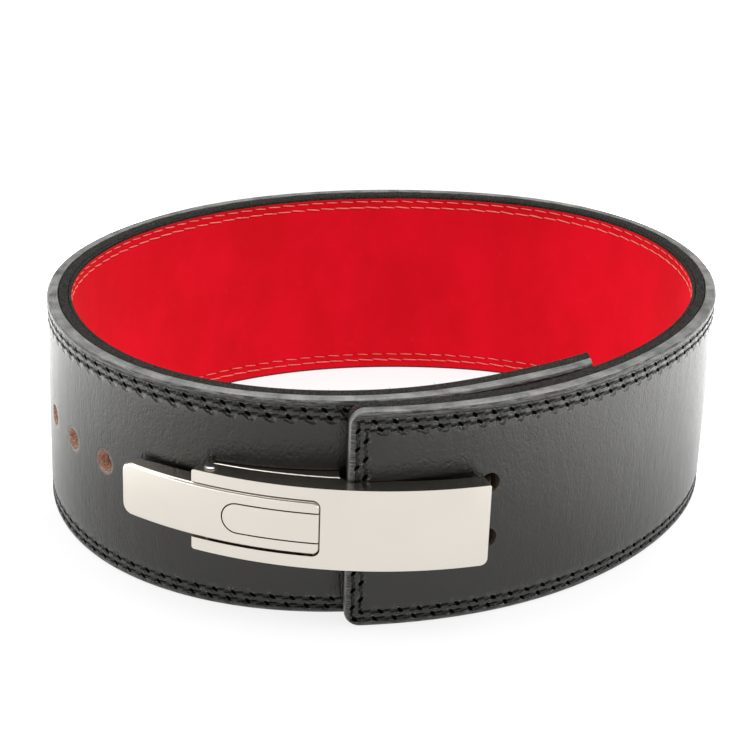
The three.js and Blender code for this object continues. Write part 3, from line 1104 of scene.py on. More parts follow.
@dataclass(frozen=True)
class RawLeather:
    """Undyed fibrous leather inside the punched holes."""

    name: str = "raw_leather"
    # A strength under one makes a darker copy, used as painted shade.
    strength: float = 1.0

    def make(self) -> bpy.types.Material:
        """Writes the material.

        Returns:
            The material.
        """
        shader = Shader(self.name)
        place = shader.place()
        fibre = shader.noise(place, 1.5, 6, 0.8)
        patch = shader.noise(place, 0.75, 3, 0.6)
        pink = shader.noise(place, 0.5, 2).ramp(0.45, 0.6)
        tan, rose, brown = (
            tuple(c * self.strength for c in tone) + (1.0,)
            for tone in ((1.0, 0.78, 0.55), (0.95, 0.6, 0.5), (0.3, 0.15, 0.09))
        )
        colour = shader.blend(fibre.ramp(0.4, 0.58), brown, shader.blend(pink, tan, rose))
        shader.set(
            Base_Color=shader.blend(patch.ramp(0.55, 0.65) * 0.6, colour, brown),
            Roughness=0.9,
            Specular_IOR_Level=0.2,
        )
        shader.bump(fibre + patch, 0.9)
        return shader.material


@dataclass(frozen=True)
class SatinSteel:
    """Pressed steel with a fine satin finish."""

    name: str = "satin_steel"
    colour: Colour = (0.71, 0.665, 0.6, 1.0)
    roughness: float = 0.16

    def make(self) -> bpy.types.Material:
        """Writes the material.

        Returns:
            The material.
        """
        shader = Shader(self.name)
        place = shader.place()
        brush = shader.noise(shader.place((0.12, 0.12, 3.0)), 2.0, 3, 0.6)
        smudge = shader.noise(place, 0.05, 3, 0.5)
        fleck = shader.noise(place, 4.0, 2, 0.5)
        dark = tuple(c * 0.93 for c in self.colour[:3]) + (1.0,)
        shader.set(
            Base_Color=shader.blend(smudge, dark, self.colour),
            Metallic=1.0,
            Roughness=self.roughness + smudge * 0.08 + brush * 0.05,
        )
        shader.bump(brush * 0.5 + fleck * 0.3 + smudge * 2.0, 0.02, 0.5)
        return shader.material


@dataclass(frozen=True)
class Thread:
    """Twisted thread with a little fuzz."""

    name: str
    dark: Colour
    light: Colour
    roughness: float = 0.6

    def make(self) -> bpy.types.Material:
        """Writes the material.

        Returns:
            The material.
        """
        shader = Shader(self.name)
        place = shader.place()
        ply = shader.noise(place, 1.3, 3, 0.6)
        wear_and_shade = shader.noise(place, 0.2, 2)
        shader.set(
            Base_Color=shader.blend(ply * 0.6 + wear_and_shade * 0.5, self.dark, self.light),
            Roughness=self.roughness,
            Specular_IOR_Level=0.3,
        )
        shader.bump(ply, 0.35, 0.8)
        return shader.material


# Geometry Nodes


class Socket(Enum):
    """Types of a node group's inputs."""

    GEOMETRY = "NodeSocketGeometry"
    NUMBER = "NodeSocketFloat"
    WHOLE = "NodeSocketInt"
    FINISH = "NodeSocketMaterial"


class NodeTree:
    """A Geometry Nodes tree that is built and then run on a carrier mesh."""

    def __init__(self, name: str, inputs: dict[str, Socket]) -> None:
        """Makes the tree with its named inputs.

        Args:
            name: The tree's name.
            inputs: The type of each input after the geometry.
        """
        self.tree = bpy.data.node_groups.new(name, "GeometryNodeTree")
        faces = self.tree.interface
        faces.new_socket("Geometry", in_out="INPUT", socket_type=Socket.GEOMETRY.value)
        self.keys = {
            label: faces.new_socket(label, in_out="INPUT", socket_type=kind.value).identifier
            for label, kind in inputs.items()
        }
        faces.new_socket("Geometry", in_out="OUTPUT", socket_type=Socket.GEOMETRY.value)
        self.start = self.tree.nodes.new("NodeGroupInput")
        self.end = self.tree.nodes.new("NodeGroupOutput")

    def given(self, label: str) -> bpy.types.NodeSocket:
        """The socket of a named input."""
        return self.start.outputs[label]

    def add(
        self,
        kind: str,
        settings: dict[str, Any] | None = None,
        inputs: dict[Any, Any] | None = None,
    ) -> bpy.types.Node:
        """Adds a node.

        Args:
            kind: The node's type.
            settings: Its own settings, made first.
            inputs: Values or sockets by name or number.

        Returns:
            The node.
        """
        node = self.tree.nodes.new(kind)
        for name, value in (settings or {}).items():
            setattr(node, name, value)
        for name, value in (inputs or {}).items():
            if isinstance(value, bpy.types.NodeSocket):
                self.tree.links.new(value, node.inputs[name])
            else:
                node.inputs[name].default_value = value
        return node

    def random(self, low: float, high: float, seed: Any) -> bpy.types.NodeSocket:
        """A random number for each point.

        Args:
            low: The smallest.
            high: The largest.
            seed: The seed, a number or a socket.

        Returns:
            The number's socket.
        """
        node = self.add("FunctionNodeRandomValue", {"data_type": "FLOAT"})
        for socket in node.inputs:
            if socket.enabled and socket.name in ("Min", "Max"):
                socket.default_value = low if socket.name == "Min" else high
        seeds = [s for s in node.inputs if s.name == "Seed"]
        if isinstance(seed, bpy.types.NodeSocket):
            self.tree.links.new(seed, seeds[0])
        else:
            seeds[0].default_value = seed
        return next(s for s in node.outputs if s.enabled)

    def finish(self, instances: bpy.types.NodeSocket, material: bpy.types.NodeSocket) -> None:
        """Ends the tree in real geometry with its material.

        Args:
            instances: What the tree has laid.
            material: The input that holds the material.
        """
        real = self.add("GeometryNodeRealizeInstances", {}, {0: instances})
        smooth = self.add("GeometryNodeSetShadeSmooth", {}, {0: real.outputs[0]})
        dressed = self.add(
            "GeometryNodeSetMaterial", {}, {"Geometry": smooth.outputs[0], "Material": material}
        )
        self.tree.links.new(dressed.outputs[0], self.end.inputs[0])

    def run(self, carrier: bpy.types.Object, values: dict[str, Any]) -> None:
        """Runs the tree on a carrier, which becomes a plain mesh.

        Args:
            carrier: The object whose mesh the tree reads.
            values: The value of each named input.
        """
        modifier = carrier.modifiers.new("nodes", "NODES")
        modifier.node_group = self.tree
        for label, value in values.items():
            modifier[self.keys[label]] = value
        settle(carrier)


def stitch_tree() -> NodeTree:
    """The tree that lays one arched stitch on each point of its carrier.

    Returns:
        The tree, ready to run.
    """
    tree = NodeTree(
        "stitches",
        {
            "Length": Socket.NUMBER,
            "Thread radius": Socket.NUMBER,
            "Rise": Socket.NUMBER,
            "Dive": Socket.NUMBER,
            "Tilt": Socket.NUMBER,
            "Seed": Socket.WHOLE,
            "Thread": Socket.FINISH,
        },
    )

    def number(operation: str, first: Any, second: Any) -> bpy.types.NodeSocket:
        """The result of one Math node."""
        return tree.add("ShaderNodeMath", {"operation": operation}, {0: first, 1: second}).outputs[0]

    def vector(x: Any, y: Any, z: Any) -> bpy.types.NodeSocket:
        """A vector of three numbers."""
        return tree.add("ShaderNodeCombineXYZ", {}, {0: x, 1: y, 2: z}).outputs[0]

    half = number("MULTIPLY", tree.given("Length"), 0.5)
    back = number("MULTIPLY", tree.given("Length"), -0.5)
    down = number("MULTIPLY", tree.given("Dive"), -1.0)
    shoulder = number("MULTIPLY", tree.given("Length"), 0.34)
    shoulder_back = number("MULTIPLY", tree.given("Length"), -0.34)
    up = tree.given("Rise")
    arch = tree.add(
        "GeometryNodeCurvePrimitiveBezierSegment",
        {"mode": "POSITION"},
        {
            "Resolution": 9,
            "Start": vector(back, 0.0, down),
            "Start Handle": vector(shoulder_back, 0.0, number("MULTIPLY", up, 1.6)),
            "End Handle": vector(shoulder, 0.0, number("MULTIPLY", up, 1.6)),
            "End": vector(half, 0.0, down),
        },
    )
    ring = tree.add(
        "GeometryNodeCurvePrimitiveCircle",
        {"mode": "RADIUS"},
        {"Resolution": 6, "Radius": tree.given("Thread radius")},
    )
    thread = tree.add(
        "GeometryNodeCurveToMesh",
        {},
        {"Curve": arch.outputs[0], "Profile Curve": ring.outputs[0], "Fill Caps": True},
    )
    read = {"data_type": "FLOAT_VECTOR"}
    along = tree.add("GeometryNodeInputNamedAttribute", read, {"Name": "along"})
    outward = tree.add("GeometryNodeInputNamedAttribute", read, {"Name": "outward"})
    frame = tree.add(
        "FunctionNodeAxesToRotation",
        {"primary_axis": "Z", "secondary_axis": "X"},
        {0: outward.outputs[0], 1: along.outputs[0]},
    )
    wobble = tree.random(-0.045, 0.045, tree.given("Seed"))
    tilt = number("ADD", tree.given("Tilt"), wobble)
    lean = tree.add("FunctionNodeEulerToRotation", {}, {0: vector(0.0, 0.0, tilt)})
    turned = tree.add(
        "FunctionNodeRotateRotation",
        {"rotation_space": "LOCAL"},
        {0: frame.outputs[0], 1: lean.outputs[0]},
    )
    size = tree.random(0.94, 1.06, 7)
    laid = tree.add(
        "GeometryNodeInstanceOnPoints",
        {},
        {
            "Points": tree.given("Geometry"),
            "Instance": thread.outputs[0],
            "Rotation": turned.outputs[0],
            "Scale": size,
        },
    )
    tree.finish(laid.outputs[0], tree.given("Thread"))
    return tree


def fibre_tree() -> NodeTree:
    """The tree that strews short loose fibres over its carrier's faces.

    Returns:
        The tree, ready to run.
    """
    tree = NodeTree(
        "fibres",
        {
            "Density": Socket.NUMBER,
            "Length": Socket.NUMBER,
            "Radius": Socket.NUMBER,
            "Seed": Socket.WHOLE,
            "Fibre": Socket.FINISH,
        },
    )
    strewn = tree.add(
        "GeometryNodeDistributePointsOnFaces",
        {"distribute_method": "RANDOM"},
        {"Mesh": tree.given("Geometry"), "Density": tree.given("Density"), "Seed": tree.given("Seed")},
    )
    fibre = tree.add(
        "GeometryNodeMeshCone",
        {},
        {
            "Vertices": 3,
            "Radius Top": 0.0,
            "Radius Bottom": tree.given("Radius"),
            "Depth": tree.given("Length"),
        },
    )
    angles = tree.add(
        "ShaderNodeCombineXYZ",
        {},
        {0: tree.random(-1.0, 1.0, 11), 1: tree.random(-1.0, 1.0, 12), 2: tree.random(0.0, 6.28, 13)},
    )
    lean = tree.add("FunctionNodeEulerToRotation", {}, {0: angles.outputs[0]})
    turned = tree.add(
        "FunctionNodeRotateRotation",
        {"rotation_space": "LOCAL"},
        {0: strewn.outputs["Rotation"], 1: lean.outputs[0]},
    )
    laid = tree.add(
        "GeometryNodeInstanceOnPoints",
        {},
        {
            "Points": strewn.outputs[0],
            "Instance": fibre.outputs[0],
            "Rotation": turned.outputs[0],
            "Scale": tree.random(0.4, 1.3, 14),
        },
    )
    tree.finish(laid.outputs[0], tree.given("Fibre"))
    return tree


# Sub-assemblies


def dress(
    piece: bpy.types.Object,
    material: bpy.types.Material | None,
    body: Body,
    nodes: Sequence[str] = (),
) -> bpy.types.Object:
    """Gives a piece its material and body, and hides the CAD nodes it stands for.

    Args:
        piece: The piece.
        material: Its material, or None where the mesh has its own.
        body: The body that it rides on.
        nodes: CAD nodes that it replaces.

    Returns:
        The piece.
    """
    if material is not None:
        piece.data.materials.clear()
        piece.data.materials.append(material)
    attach(piece, body.value)
    if nodes:
        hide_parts(*nodes)
    LOG.info("%s: %d faces on %s", piece.name, len(piece.data.polygons), body.value)
    return piece


@dataclass
class Strap:
    """The leather strap: hide, split and suede, with its holes and sewing."""

    path: StrapPath
    hide_depth: tuple[float, float] = (0.0, 5.2)
    core_depth: tuple[float, float] = (5.5, 9.7)
    lining_depth: tuple[float, float] = (10.0, 11.2)
    edge_round: float = 2.0
    channel: float = 0.3
    inner_lift: float = 1.2
    spare_holes: int = 4
    spare_start: float = -171.2
    hole_pitch: float = 27.0
    spare_radius: float = 5.0
    spare_rise: float = 1.2
    claw_arc: float = 61.2
    claw_radius: float = 4.5
    claw_spacing: float = 26.0
    station_step: float = 2.2
    flap_zone: float = 12.0
    tail_zone: float = 24.0
    stitching: Stitching = field(init=False)

    def __post_init__(self) -> None:
        """Derives the sewing plan from the strap's length."""
        self.stitching = Stitching(end=self.path.length)

    def holes(self) -> list[tuple[float, float, float]]:
        """Arc length, height and radius of every punched hole.

        Returns:
            One row for each hole, the spare holes first.
        """
        middle = self.path.height / 2
        first = self.path.lap + self.spare_start
        spare = [
            (first + i * self.hole_pitch, middle + self.spare_rise, self.spare_radius)
            for i in range(self.spare_holes)
        ]
        claws = [
            (self.claw_arc, middle + side * self.claw_spacing / 2, self.claw_radius)
            for side in (-1, 1)
        ]
        return spare + claws

    def stations(self) -> Array:
        """Arc lengths of the cross-sections, closer together at both ends.

        Returns:
            The arc lengths, rising.
        """
        near = [0, 0.08, 0.25, 0.5, 0.85, 1.25, 1.7, 2.3, 3, 3.8, 4.6, 5.4, 6.2, 7, 8, 9.2, 10.6, 12]
        far = [22, 18, 14, 11, 9, 7, 5.6, 4.4, 3.4, 2.5, 1.7, 1.0, 0.5, 0.2, 0]
        length = self.path.length
        count = round((length - self.flap_zone - self.tail_zone) / self.station_step)
        between = np.linspace(self.flap_zone + 1.6, length - self.tail_zone, count)
        return np.concatenate([near, between, [length - e for e in far]])

    def floor(self, arc: Array) -> Array:
        """How far a corner lifts the strap's lower edge at an arc length.

        Args:
            arc: Arc lengths.

        Returns:
            The lift at each, in mm.
        """
        lift = np.zeros_like(arc)
        ends = ((arc, self.path.corner), (self.path.length - arc, self.path.tail_corner))
        for from_end, corner in ends:
            inside = np.clip(corner - from_end, 0, corner)
            lift = np.maximum(lift, corner - np.sqrt(corner**2 - inside**2))
        return lift

    def margin(self, arc: Array, z: Array) -> Array:
        """Distance from the strap's outline, in mm.

        Args:
            arc: Arc lengths.
            z: Heights.

        Returns:
            The distance at each place.
        """
        corner, height = self.path.corner, self.path.height
        side = np.minimum(z, height - z)
        gap_arc, gap_side = corner - arc, corner - side
        rounded = corner - np.hypot(np.clip(gap_arc, 0, None), np.clip(gap_side, 0, None))
        return np.where((gap_arc > 0) & (gap_side > 0), rounded, np.minimum(side, arc))

    def rounding(self, margin: Array, radius: float) -> Array:
        """How far a rounded edge falls away at a distance from the outline."""
        inside = np.clip(radius - margin, 0, radius)
        return radius - np.sqrt(np.clip(radius**2 - inside**2, 0, None))

    def layer(
        self,
        name: str,
        depth: tuple[float, float],
        outer: Callable[[Array], Array],
        inner: Callable[[Array], Array],
        lower: float,
        levels: Sequence[float],
    ) -> bpy.types.Object:
        """Sweeps one layer of the strap.

        Args:
            name: The piece's name.
            depth: Depth of its outer and inner face.
            outer: What the outer face gains in depth at a distance from the outline.
            inner: What the inner face loses in depth there.
            lower: How far its edges stay inside the strap's.
            levels: Distances from the edges at which the faces have points.

        Returns:
            The piece, with arc length and height in its flat map.
        """
        arcs = self.stations()
        height = self.path.height
        half = [e + lower for e in levels]
        rising = np.array(half + [height - e for e in reversed(half)])
        size = len(rising)
        share = (rising - height / 2) / (height / 2)
        floor = self.floor(arcs)
        z = height / 2 + share[None, :] * (height / 2 - floor[:, None])
        arc = np.repeat(arcs[:, None], size, 1)
        margin = self.margin(arc, z)
        out = depth[0] + outer(margin)
        back = depth[1] - inner(margin)
        flat = np.concatenate(
            [
                np.stack([arc, out, z], -1),
                np.stack([arc, back, z], -1)[:, ::-1],
            ],
            1,
        )
        start = self.path.length - self.tail_zone
        tail = self.path.length - self.path.skive * (1 - flat[..., 1] / self.path.thickness)
        beyond = (flat[..., 0] - start) / self.tail_zone
        flat[..., 0] = np.where(beyond > 0, start + beyond * (tail - start), flat[..., 0])
        rings = self.path.bend(flat.reshape(-1, 3)).reshape(flat.shape)
        return self.mapped(name, rings, flat)

    def mapped(self, name: str, rings: Array, flat: Array) -> bpy.types.Object:
        """Lofts rings and keeps their flat place as a map.

        Args:
            name: The piece's name.
            rings: Points of each ring.
            flat: Arc length, depth and height of the same points.

        Returns:
            The piece.
        """
        count, size = rings.shape[:2]
        faces = [
            (a + j, a + size + j, a + size + (j + 1) % size, a + (j + 1) % size)
            for a in range(0, (count - 1) * size, size)
            for j in range(size)
        ]
        for i in (0, count - 1):
            half = size // 2
            faces += [
                (i * size + j, i * size + j + 1, i * size + size - 2 - j, i * size + size - 1 - j)
                for j in range(half - 1)
            ]
        mesh = bpy.data.meshes.new(name)
        mesh.from_pydata((rings.reshape(-1, 3) * MM).tolist(), [], faces)
        corners = np.zeros(len(mesh.loops), int)
        mesh.loops.foreach_get("vertex_index", corners)
        for label, parts in (("flat", [0, 2]), ("side", [0, 1])):
            layer = mesh.uv_layers.new(name=label)
            rows = flat.reshape(-1, 3)[corners][:, parts] * MM
            layer.data.foreach_set("uv", rows.ravel())
        bm = bmesh.new()
        bm.from_mesh(mesh)
        bmesh.ops.recalc_face_normals(bm, faces=bm.faces)
        bm.to_mesh(mesh)
        bm.free()
        piece = bpy.data.objects.new(name, mesh)
        bpy.context.scene.collection.objects.link(piece)
        return piece

    def punch(
        self, piece: bpy.types.Object, raw: bpy.types.Material, wear_and_shade: bpy.types.Material
    ) -> None:
        """Punches the holes, whose walls show the raw leather.

        Args:
            piece: The layer.
            raw: The finish of the spare holes' walls.
            wear_and_shade: The finish of the claws' holes, raw leather painted dark as the shade under
                the cover.
        """
        for number, (arc, z, radius) in enumerate(self.holes()):
            claw = number >= self.spare_holes
            reach = self.path.thickness + (self.path.flap_gap / 2 if claw else 2)
            profile = [(radius, -3.0), (radius, reach)]
            cutter = lathe("cutter", profile, 28, self.path, arc, z)
            # The claw holes' walls take the raw leather painted dark, as the shade under the cover.
            cutter.data.materials.append(wear_and_shade if claw else raw)
            carve(piece, cutter, keep_finish=True)

    def build_hide(self, raw: bpy.types.Material, wear_and_shade: bpy.types.Material) -> bpy.types.Object:
        """The smooth outer hide with its rounded lip and stitch channel.

        Args:
            raw: The spare holes' finish.
            wear_and_shade: The claw holes' finish.

        Returns:
            The hide.
        """
        lip = [0, 0.07, 0.22, 0.5, 0.9, 1.4, 2, 2.5, 2.9, 3.3, 3.7, 4.2]
        levels = lip + [5, 6.4, 7.8, 8.8, 9.6, 10.4, 12, 16, 24, 36, 48]
        radius = self.edge_round

        def outer(margin: Array) -> Array:
            """Rounded lip and stitch channel.

            Args:
                margin: Distance from the outline.

            Returns:
                What the face gains in depth.
            """
            seam = 0.3 * np.exp(-(((margin - 3.3) / 0.55) ** 2))
            start, stop = 1 + np.exp((3.1 - margin) / 0.3), 1 + np.exp((margin - 9.6) / 0.5)
            bed = self.channel / start / stop
            return self.rounding(margin, radius) + seam + bed

        def inner(margin: Array) -> Array:
            """A slight rounding against the split."""
            return self.rounding(margin, 0.5)

        piece = self.layer("hide", self.hide_depth, outer, inner, 0.0, levels)
        shade(piece, 60)
        first, middle, _ = self.holes()[0]
        spare = (first, middle, self.hole_pitch, self.spare_radius, self.spare_holes)
        piece.data.materials.append(BlackHide(self.stitching, spare).make())
        self.finish_edges(piece, EdgeHide().make())
        self.punch(piece, raw, wear_and_shade)
        return dress(piece, None, Body.STRAP, ["outer_hide"])

    def finish_edges(
        self, piece: bpy.types.Object, finish: bpy.types.Material, width: float = 0.0
    ) -> None:
        """Gives a layer's cut edges their own finish.

        Args:
            piece: The layer, with its flat map.
            finish: The finish of its cut edges.
            width: How far that finish runs on over the faces.
        """
        mesh = piece.data
        mesh.materials.append(finish)
        normals = np.zeros(len(mesh.polygons) * 3)
        mesh.polygons.foreach_get("normal", normals)
        flat = np.zeros(len(mesh.loops) * 2)
        mesh.uv_layers["flat"].data.foreach_get("uv", flat)
        starts = np.zeros(len(mesh.polygons), int)
        mesh.polygons.foreach_get("loop_start", starts)
        _, _, inward = self.path.at(flat.reshape(-1, 2)[starts, 0] / MM)
        facing = np.abs((normals.reshape(-1, 3)[:, :2] * inward).sum(1))
        arc, z = flat.reshape(-1, 2)[starts].T / MM
        side = np.minimum(np.minimum(z, self.path.height - z), np.minimum(arc, self.path.length - arc))
        cut = (facing < 0.62) | (side < width)
        mesh.polygons.foreach_set("material_index", cut.astype(int))

    def build_core(
        self, raw: bpy.types.Material, wear_and_shade: bpy.types.Material, split: bpy.types.Material
    ) -> bpy.types.Object:
        """The rough split between hide and suede.

        Args:
            raw: The spare holes' finish.
            wear_and_shade: The claw holes' finish.
            split: Its own finish.

        Returns:
            The split.
        """
        levels = [0, 0.15, 0.5, 1.2, 3, 20, 48]

        def rough(margin: Array) -> Array:
            """A soft rounding at the edges."""
            return self.rounding(margin, 0.7)

        piece = self.layer("split", self.core_depth, rough, rough, 0.35, levels)
        shade(piece, 60)
        piece.data.materials.append(split)
        self.punch(piece, raw, wear_and_shade)
        return dress(piece, None, Body.STRAP, ["strap_core"])

    def build_lining(
        self, raw: bpy.types.Material, wear_and_shade: bpy.types.Material, split: bpy.types.Material
    ) -> bpy.types.Object:
        """The red suede against the waist, its cut edge dyed black.

        Args:
            raw: The spare holes' finish.
            wear_and_shade: The claw holes' finish.
            split: The cut edge's finish.

        Returns:
            The lining.
        """
        levels = [0, 0.1, 0.3, 0.7, 1.4, 2.4, 3.4, 4.2, 5, 5.8, 6.6, 7.4, 8.4, 10, 14, 22, 34, 48]

        def outer(margin: Array) -> Array:
            """Flat against the split."""
            return np.zeros_like(margin)

        def inner(margin: Array) -> Array:
            """Rounded at the edge and drawn in along the stitches."""
            dip = 0.3 * np.exp(-(((margin - 5.7) / 2.2) ** 2))
            return self.rounding(margin, 0.6) + dip

        piece = self.layer("suede", self.lining_depth, outer, inner, 0.5, levels)
        shade(piece, 60)
        piece.data.materials.append(RedSuede(self.stitching, self.inner_lift).make())
        self.finish_edges(piece, split, 1.6)
        self.punch(piece, raw, wear_and_shade)
        return dress(piece, None, Body.STRAP, ["lining"])

    def carrier(self, name: str, points: Array, along: Array, outward: Array) -> bpy.types.Object:
        """Loose points with the directions that stitches take.

        Args:
            name: The piece's name.
            points: Where the stitches lie, in mm.
            along: The direction of each stitch.
            outward: The direction away from the leather.

        Returns:
            The carrier.
        """
        mesh = bpy.data.meshes.new(name)
        mesh.from_pydata((points * MM).tolist(), [], [])
        for label, rows in (("along", along), ("outward", outward)):
            attribute = mesh.attributes.new(label, "FLOAT_VECTOR", "POINT")
            attribute.data.foreach_set("vector", rows.ravel())
        piece = bpy.data.objects.new(name, mesh)
        bpy.context.scene.collection.objects.link(piece)
        return piece

    def sewn(self, depth: float, outward_sign: float, lift: float) -> tuple[Array, Array, Array]:
        """Where the stitches lie on one face of the strap.

        Args:
            depth: Depth of the face.
            outward_sign: 1 on the outer face and -1 on the inner.
            lift: How far the rows lie above their plan.

        Returns:
            Points, directions along the stitches and directions outward.
        """
        flat, upright_flags = [], []
        for row in self.stitching.rows():
            first = math.ceil((row.start - row.phase) / row.pitch)
            last = math.floor((row.end - row.phase) / row.pitch)
            for k in range(first, last):
                flat.append((row.phase + (k + 0.5) * row.pitch, depth, row.z + lift))
                upright_flags.append(False)
        for column in self.stitching.columns():
            first = math.ceil((column.low - column.phase) / column.pitch)
            last = math.floor((column.high - column.phase) / column.pitch)
            for k in range(first, last):
                flat.append((column.arc, depth, column.phase + (k + 0.5) * column.pitch))
                upright_flags.append(True)
        rows = np.array(flat)
        _, along, inward = self.path.at(rows[:, 0])
        along = np.column_stack([along, np.zeros(len(rows))])
        along[np.array(upright_flags)] = (0, 0, 1)
        outward = -outward_sign * np.column_stack([inward, np.zeros(len(rows))])
        return self.path.bend(rows), along, outward

    def build_stitches(self) -> list[bpy.types.Object]:
        """The black stitches outside and the pink ones inside.

        Returns:
            The outer and the inner stitches.
        """
        tree = stitch_tree()
        black = Thread("black_thread", grey(0.002), grey(0.014), 0.5).make()
        pink = Thread("pink_thread", (0.62, 0.03, 0.03, 1.0), (0.95, 0.42, 0.32, 1.0), 0.75).make()
        outside = self.carrier("stitches_outside", *self.sewn(self.channel, 1, 0.0))
        tree.run(
            outside,
            {
                "Length": 7.6 * MM,
                "Thread radius": 0.5 * MM,
                "Rise": 0.05 * MM,
                "Dive": 0.9 * MM,
                "Tilt": 0.14,
                "Seed": 3,
                "Thread": black,
            },
        )
        depth = self.path.thickness - self.channel
        inside = self.carrier("stitches_inside", *self.sewn(depth, -1, self.inner_lift))
        tree.run(
            inside,
            {
                "Length": 8.4 * MM,
                "Thread radius": 0.33 * MM,
                "Rise": 0.15 * MM,
                "Dive": 0.3 * MM,
                "Tilt": -0.07,
                "Seed": 5,
                "Thread": pink,
            },
        )
        dress(outside, None, Body.STRAP)
        dress(inside, None, Body.STRAP)
        return [outside, inside]

    def build_fibres(self) -> bpy.types.Object:
        """Loose fibres on the split's cut edges.

        Returns:
            The fibres.
        """
        arcs = np.arange(2.0, self.path.length - 12, 4.0)
        low, high = self.core_depth
        rows = []
        for z in (0.5, self.path.height - 0.5):
            for depth in (low + 0.4, high - 0.4):
                rows.append(np.column_stack([arcs, np.full_like(arcs, depth), np.full_like(arcs, z)]))
        points = self.path.bend(np.concatenate(rows))
        n = len(arcs)
        faces = [
            (side * n + i, side * n + i + 1, (side + 1) * n + i + 1, (side + 1) * n + i)
            if side
            else (i, n + i, n + i + 1, i + 1)
            for side in (0, 2)
            for i in range(n - 1)
        ]
        mesh = bpy.data.meshes.new("fibres")
        mesh.from_pydata((points * MM).tolist(), [], faces)
        piece = bpy.data.objects.new("fibres", mesh)
        bpy.context.scene.collection.objects.link(piece)
        fibre_tree().run(
            piece,
            {
                "Density": 1.6e6,
                "Length": 1.7 * MM,
                "Radius": 0.08 * MM,
                "Seed": 9,
                "Fibre": Thread("loose_fibre", grey(0.01), grey(0.12), 0.9).make(),
            },
        )
        return dress(piece, None, Body.STRAP)

    def build(self) -> None:
        """Builds and dresses the whole strap."""
        raw = RawLeather().make()
        # A darker copy of the raw leather: painted shade for the claw holes under the cover.
        wear_and_shade = RawLeather("shaded_raw_leather", 0.16).make()
        split = BlackSplit().make()
        self.build_hide(raw, wear_and_shade)
        self.build_core(raw, wear_and_shade, split)
        self.build_lining(raw, wear_and_shade, split)
        self.build_stitches()
        self.build_fibres()


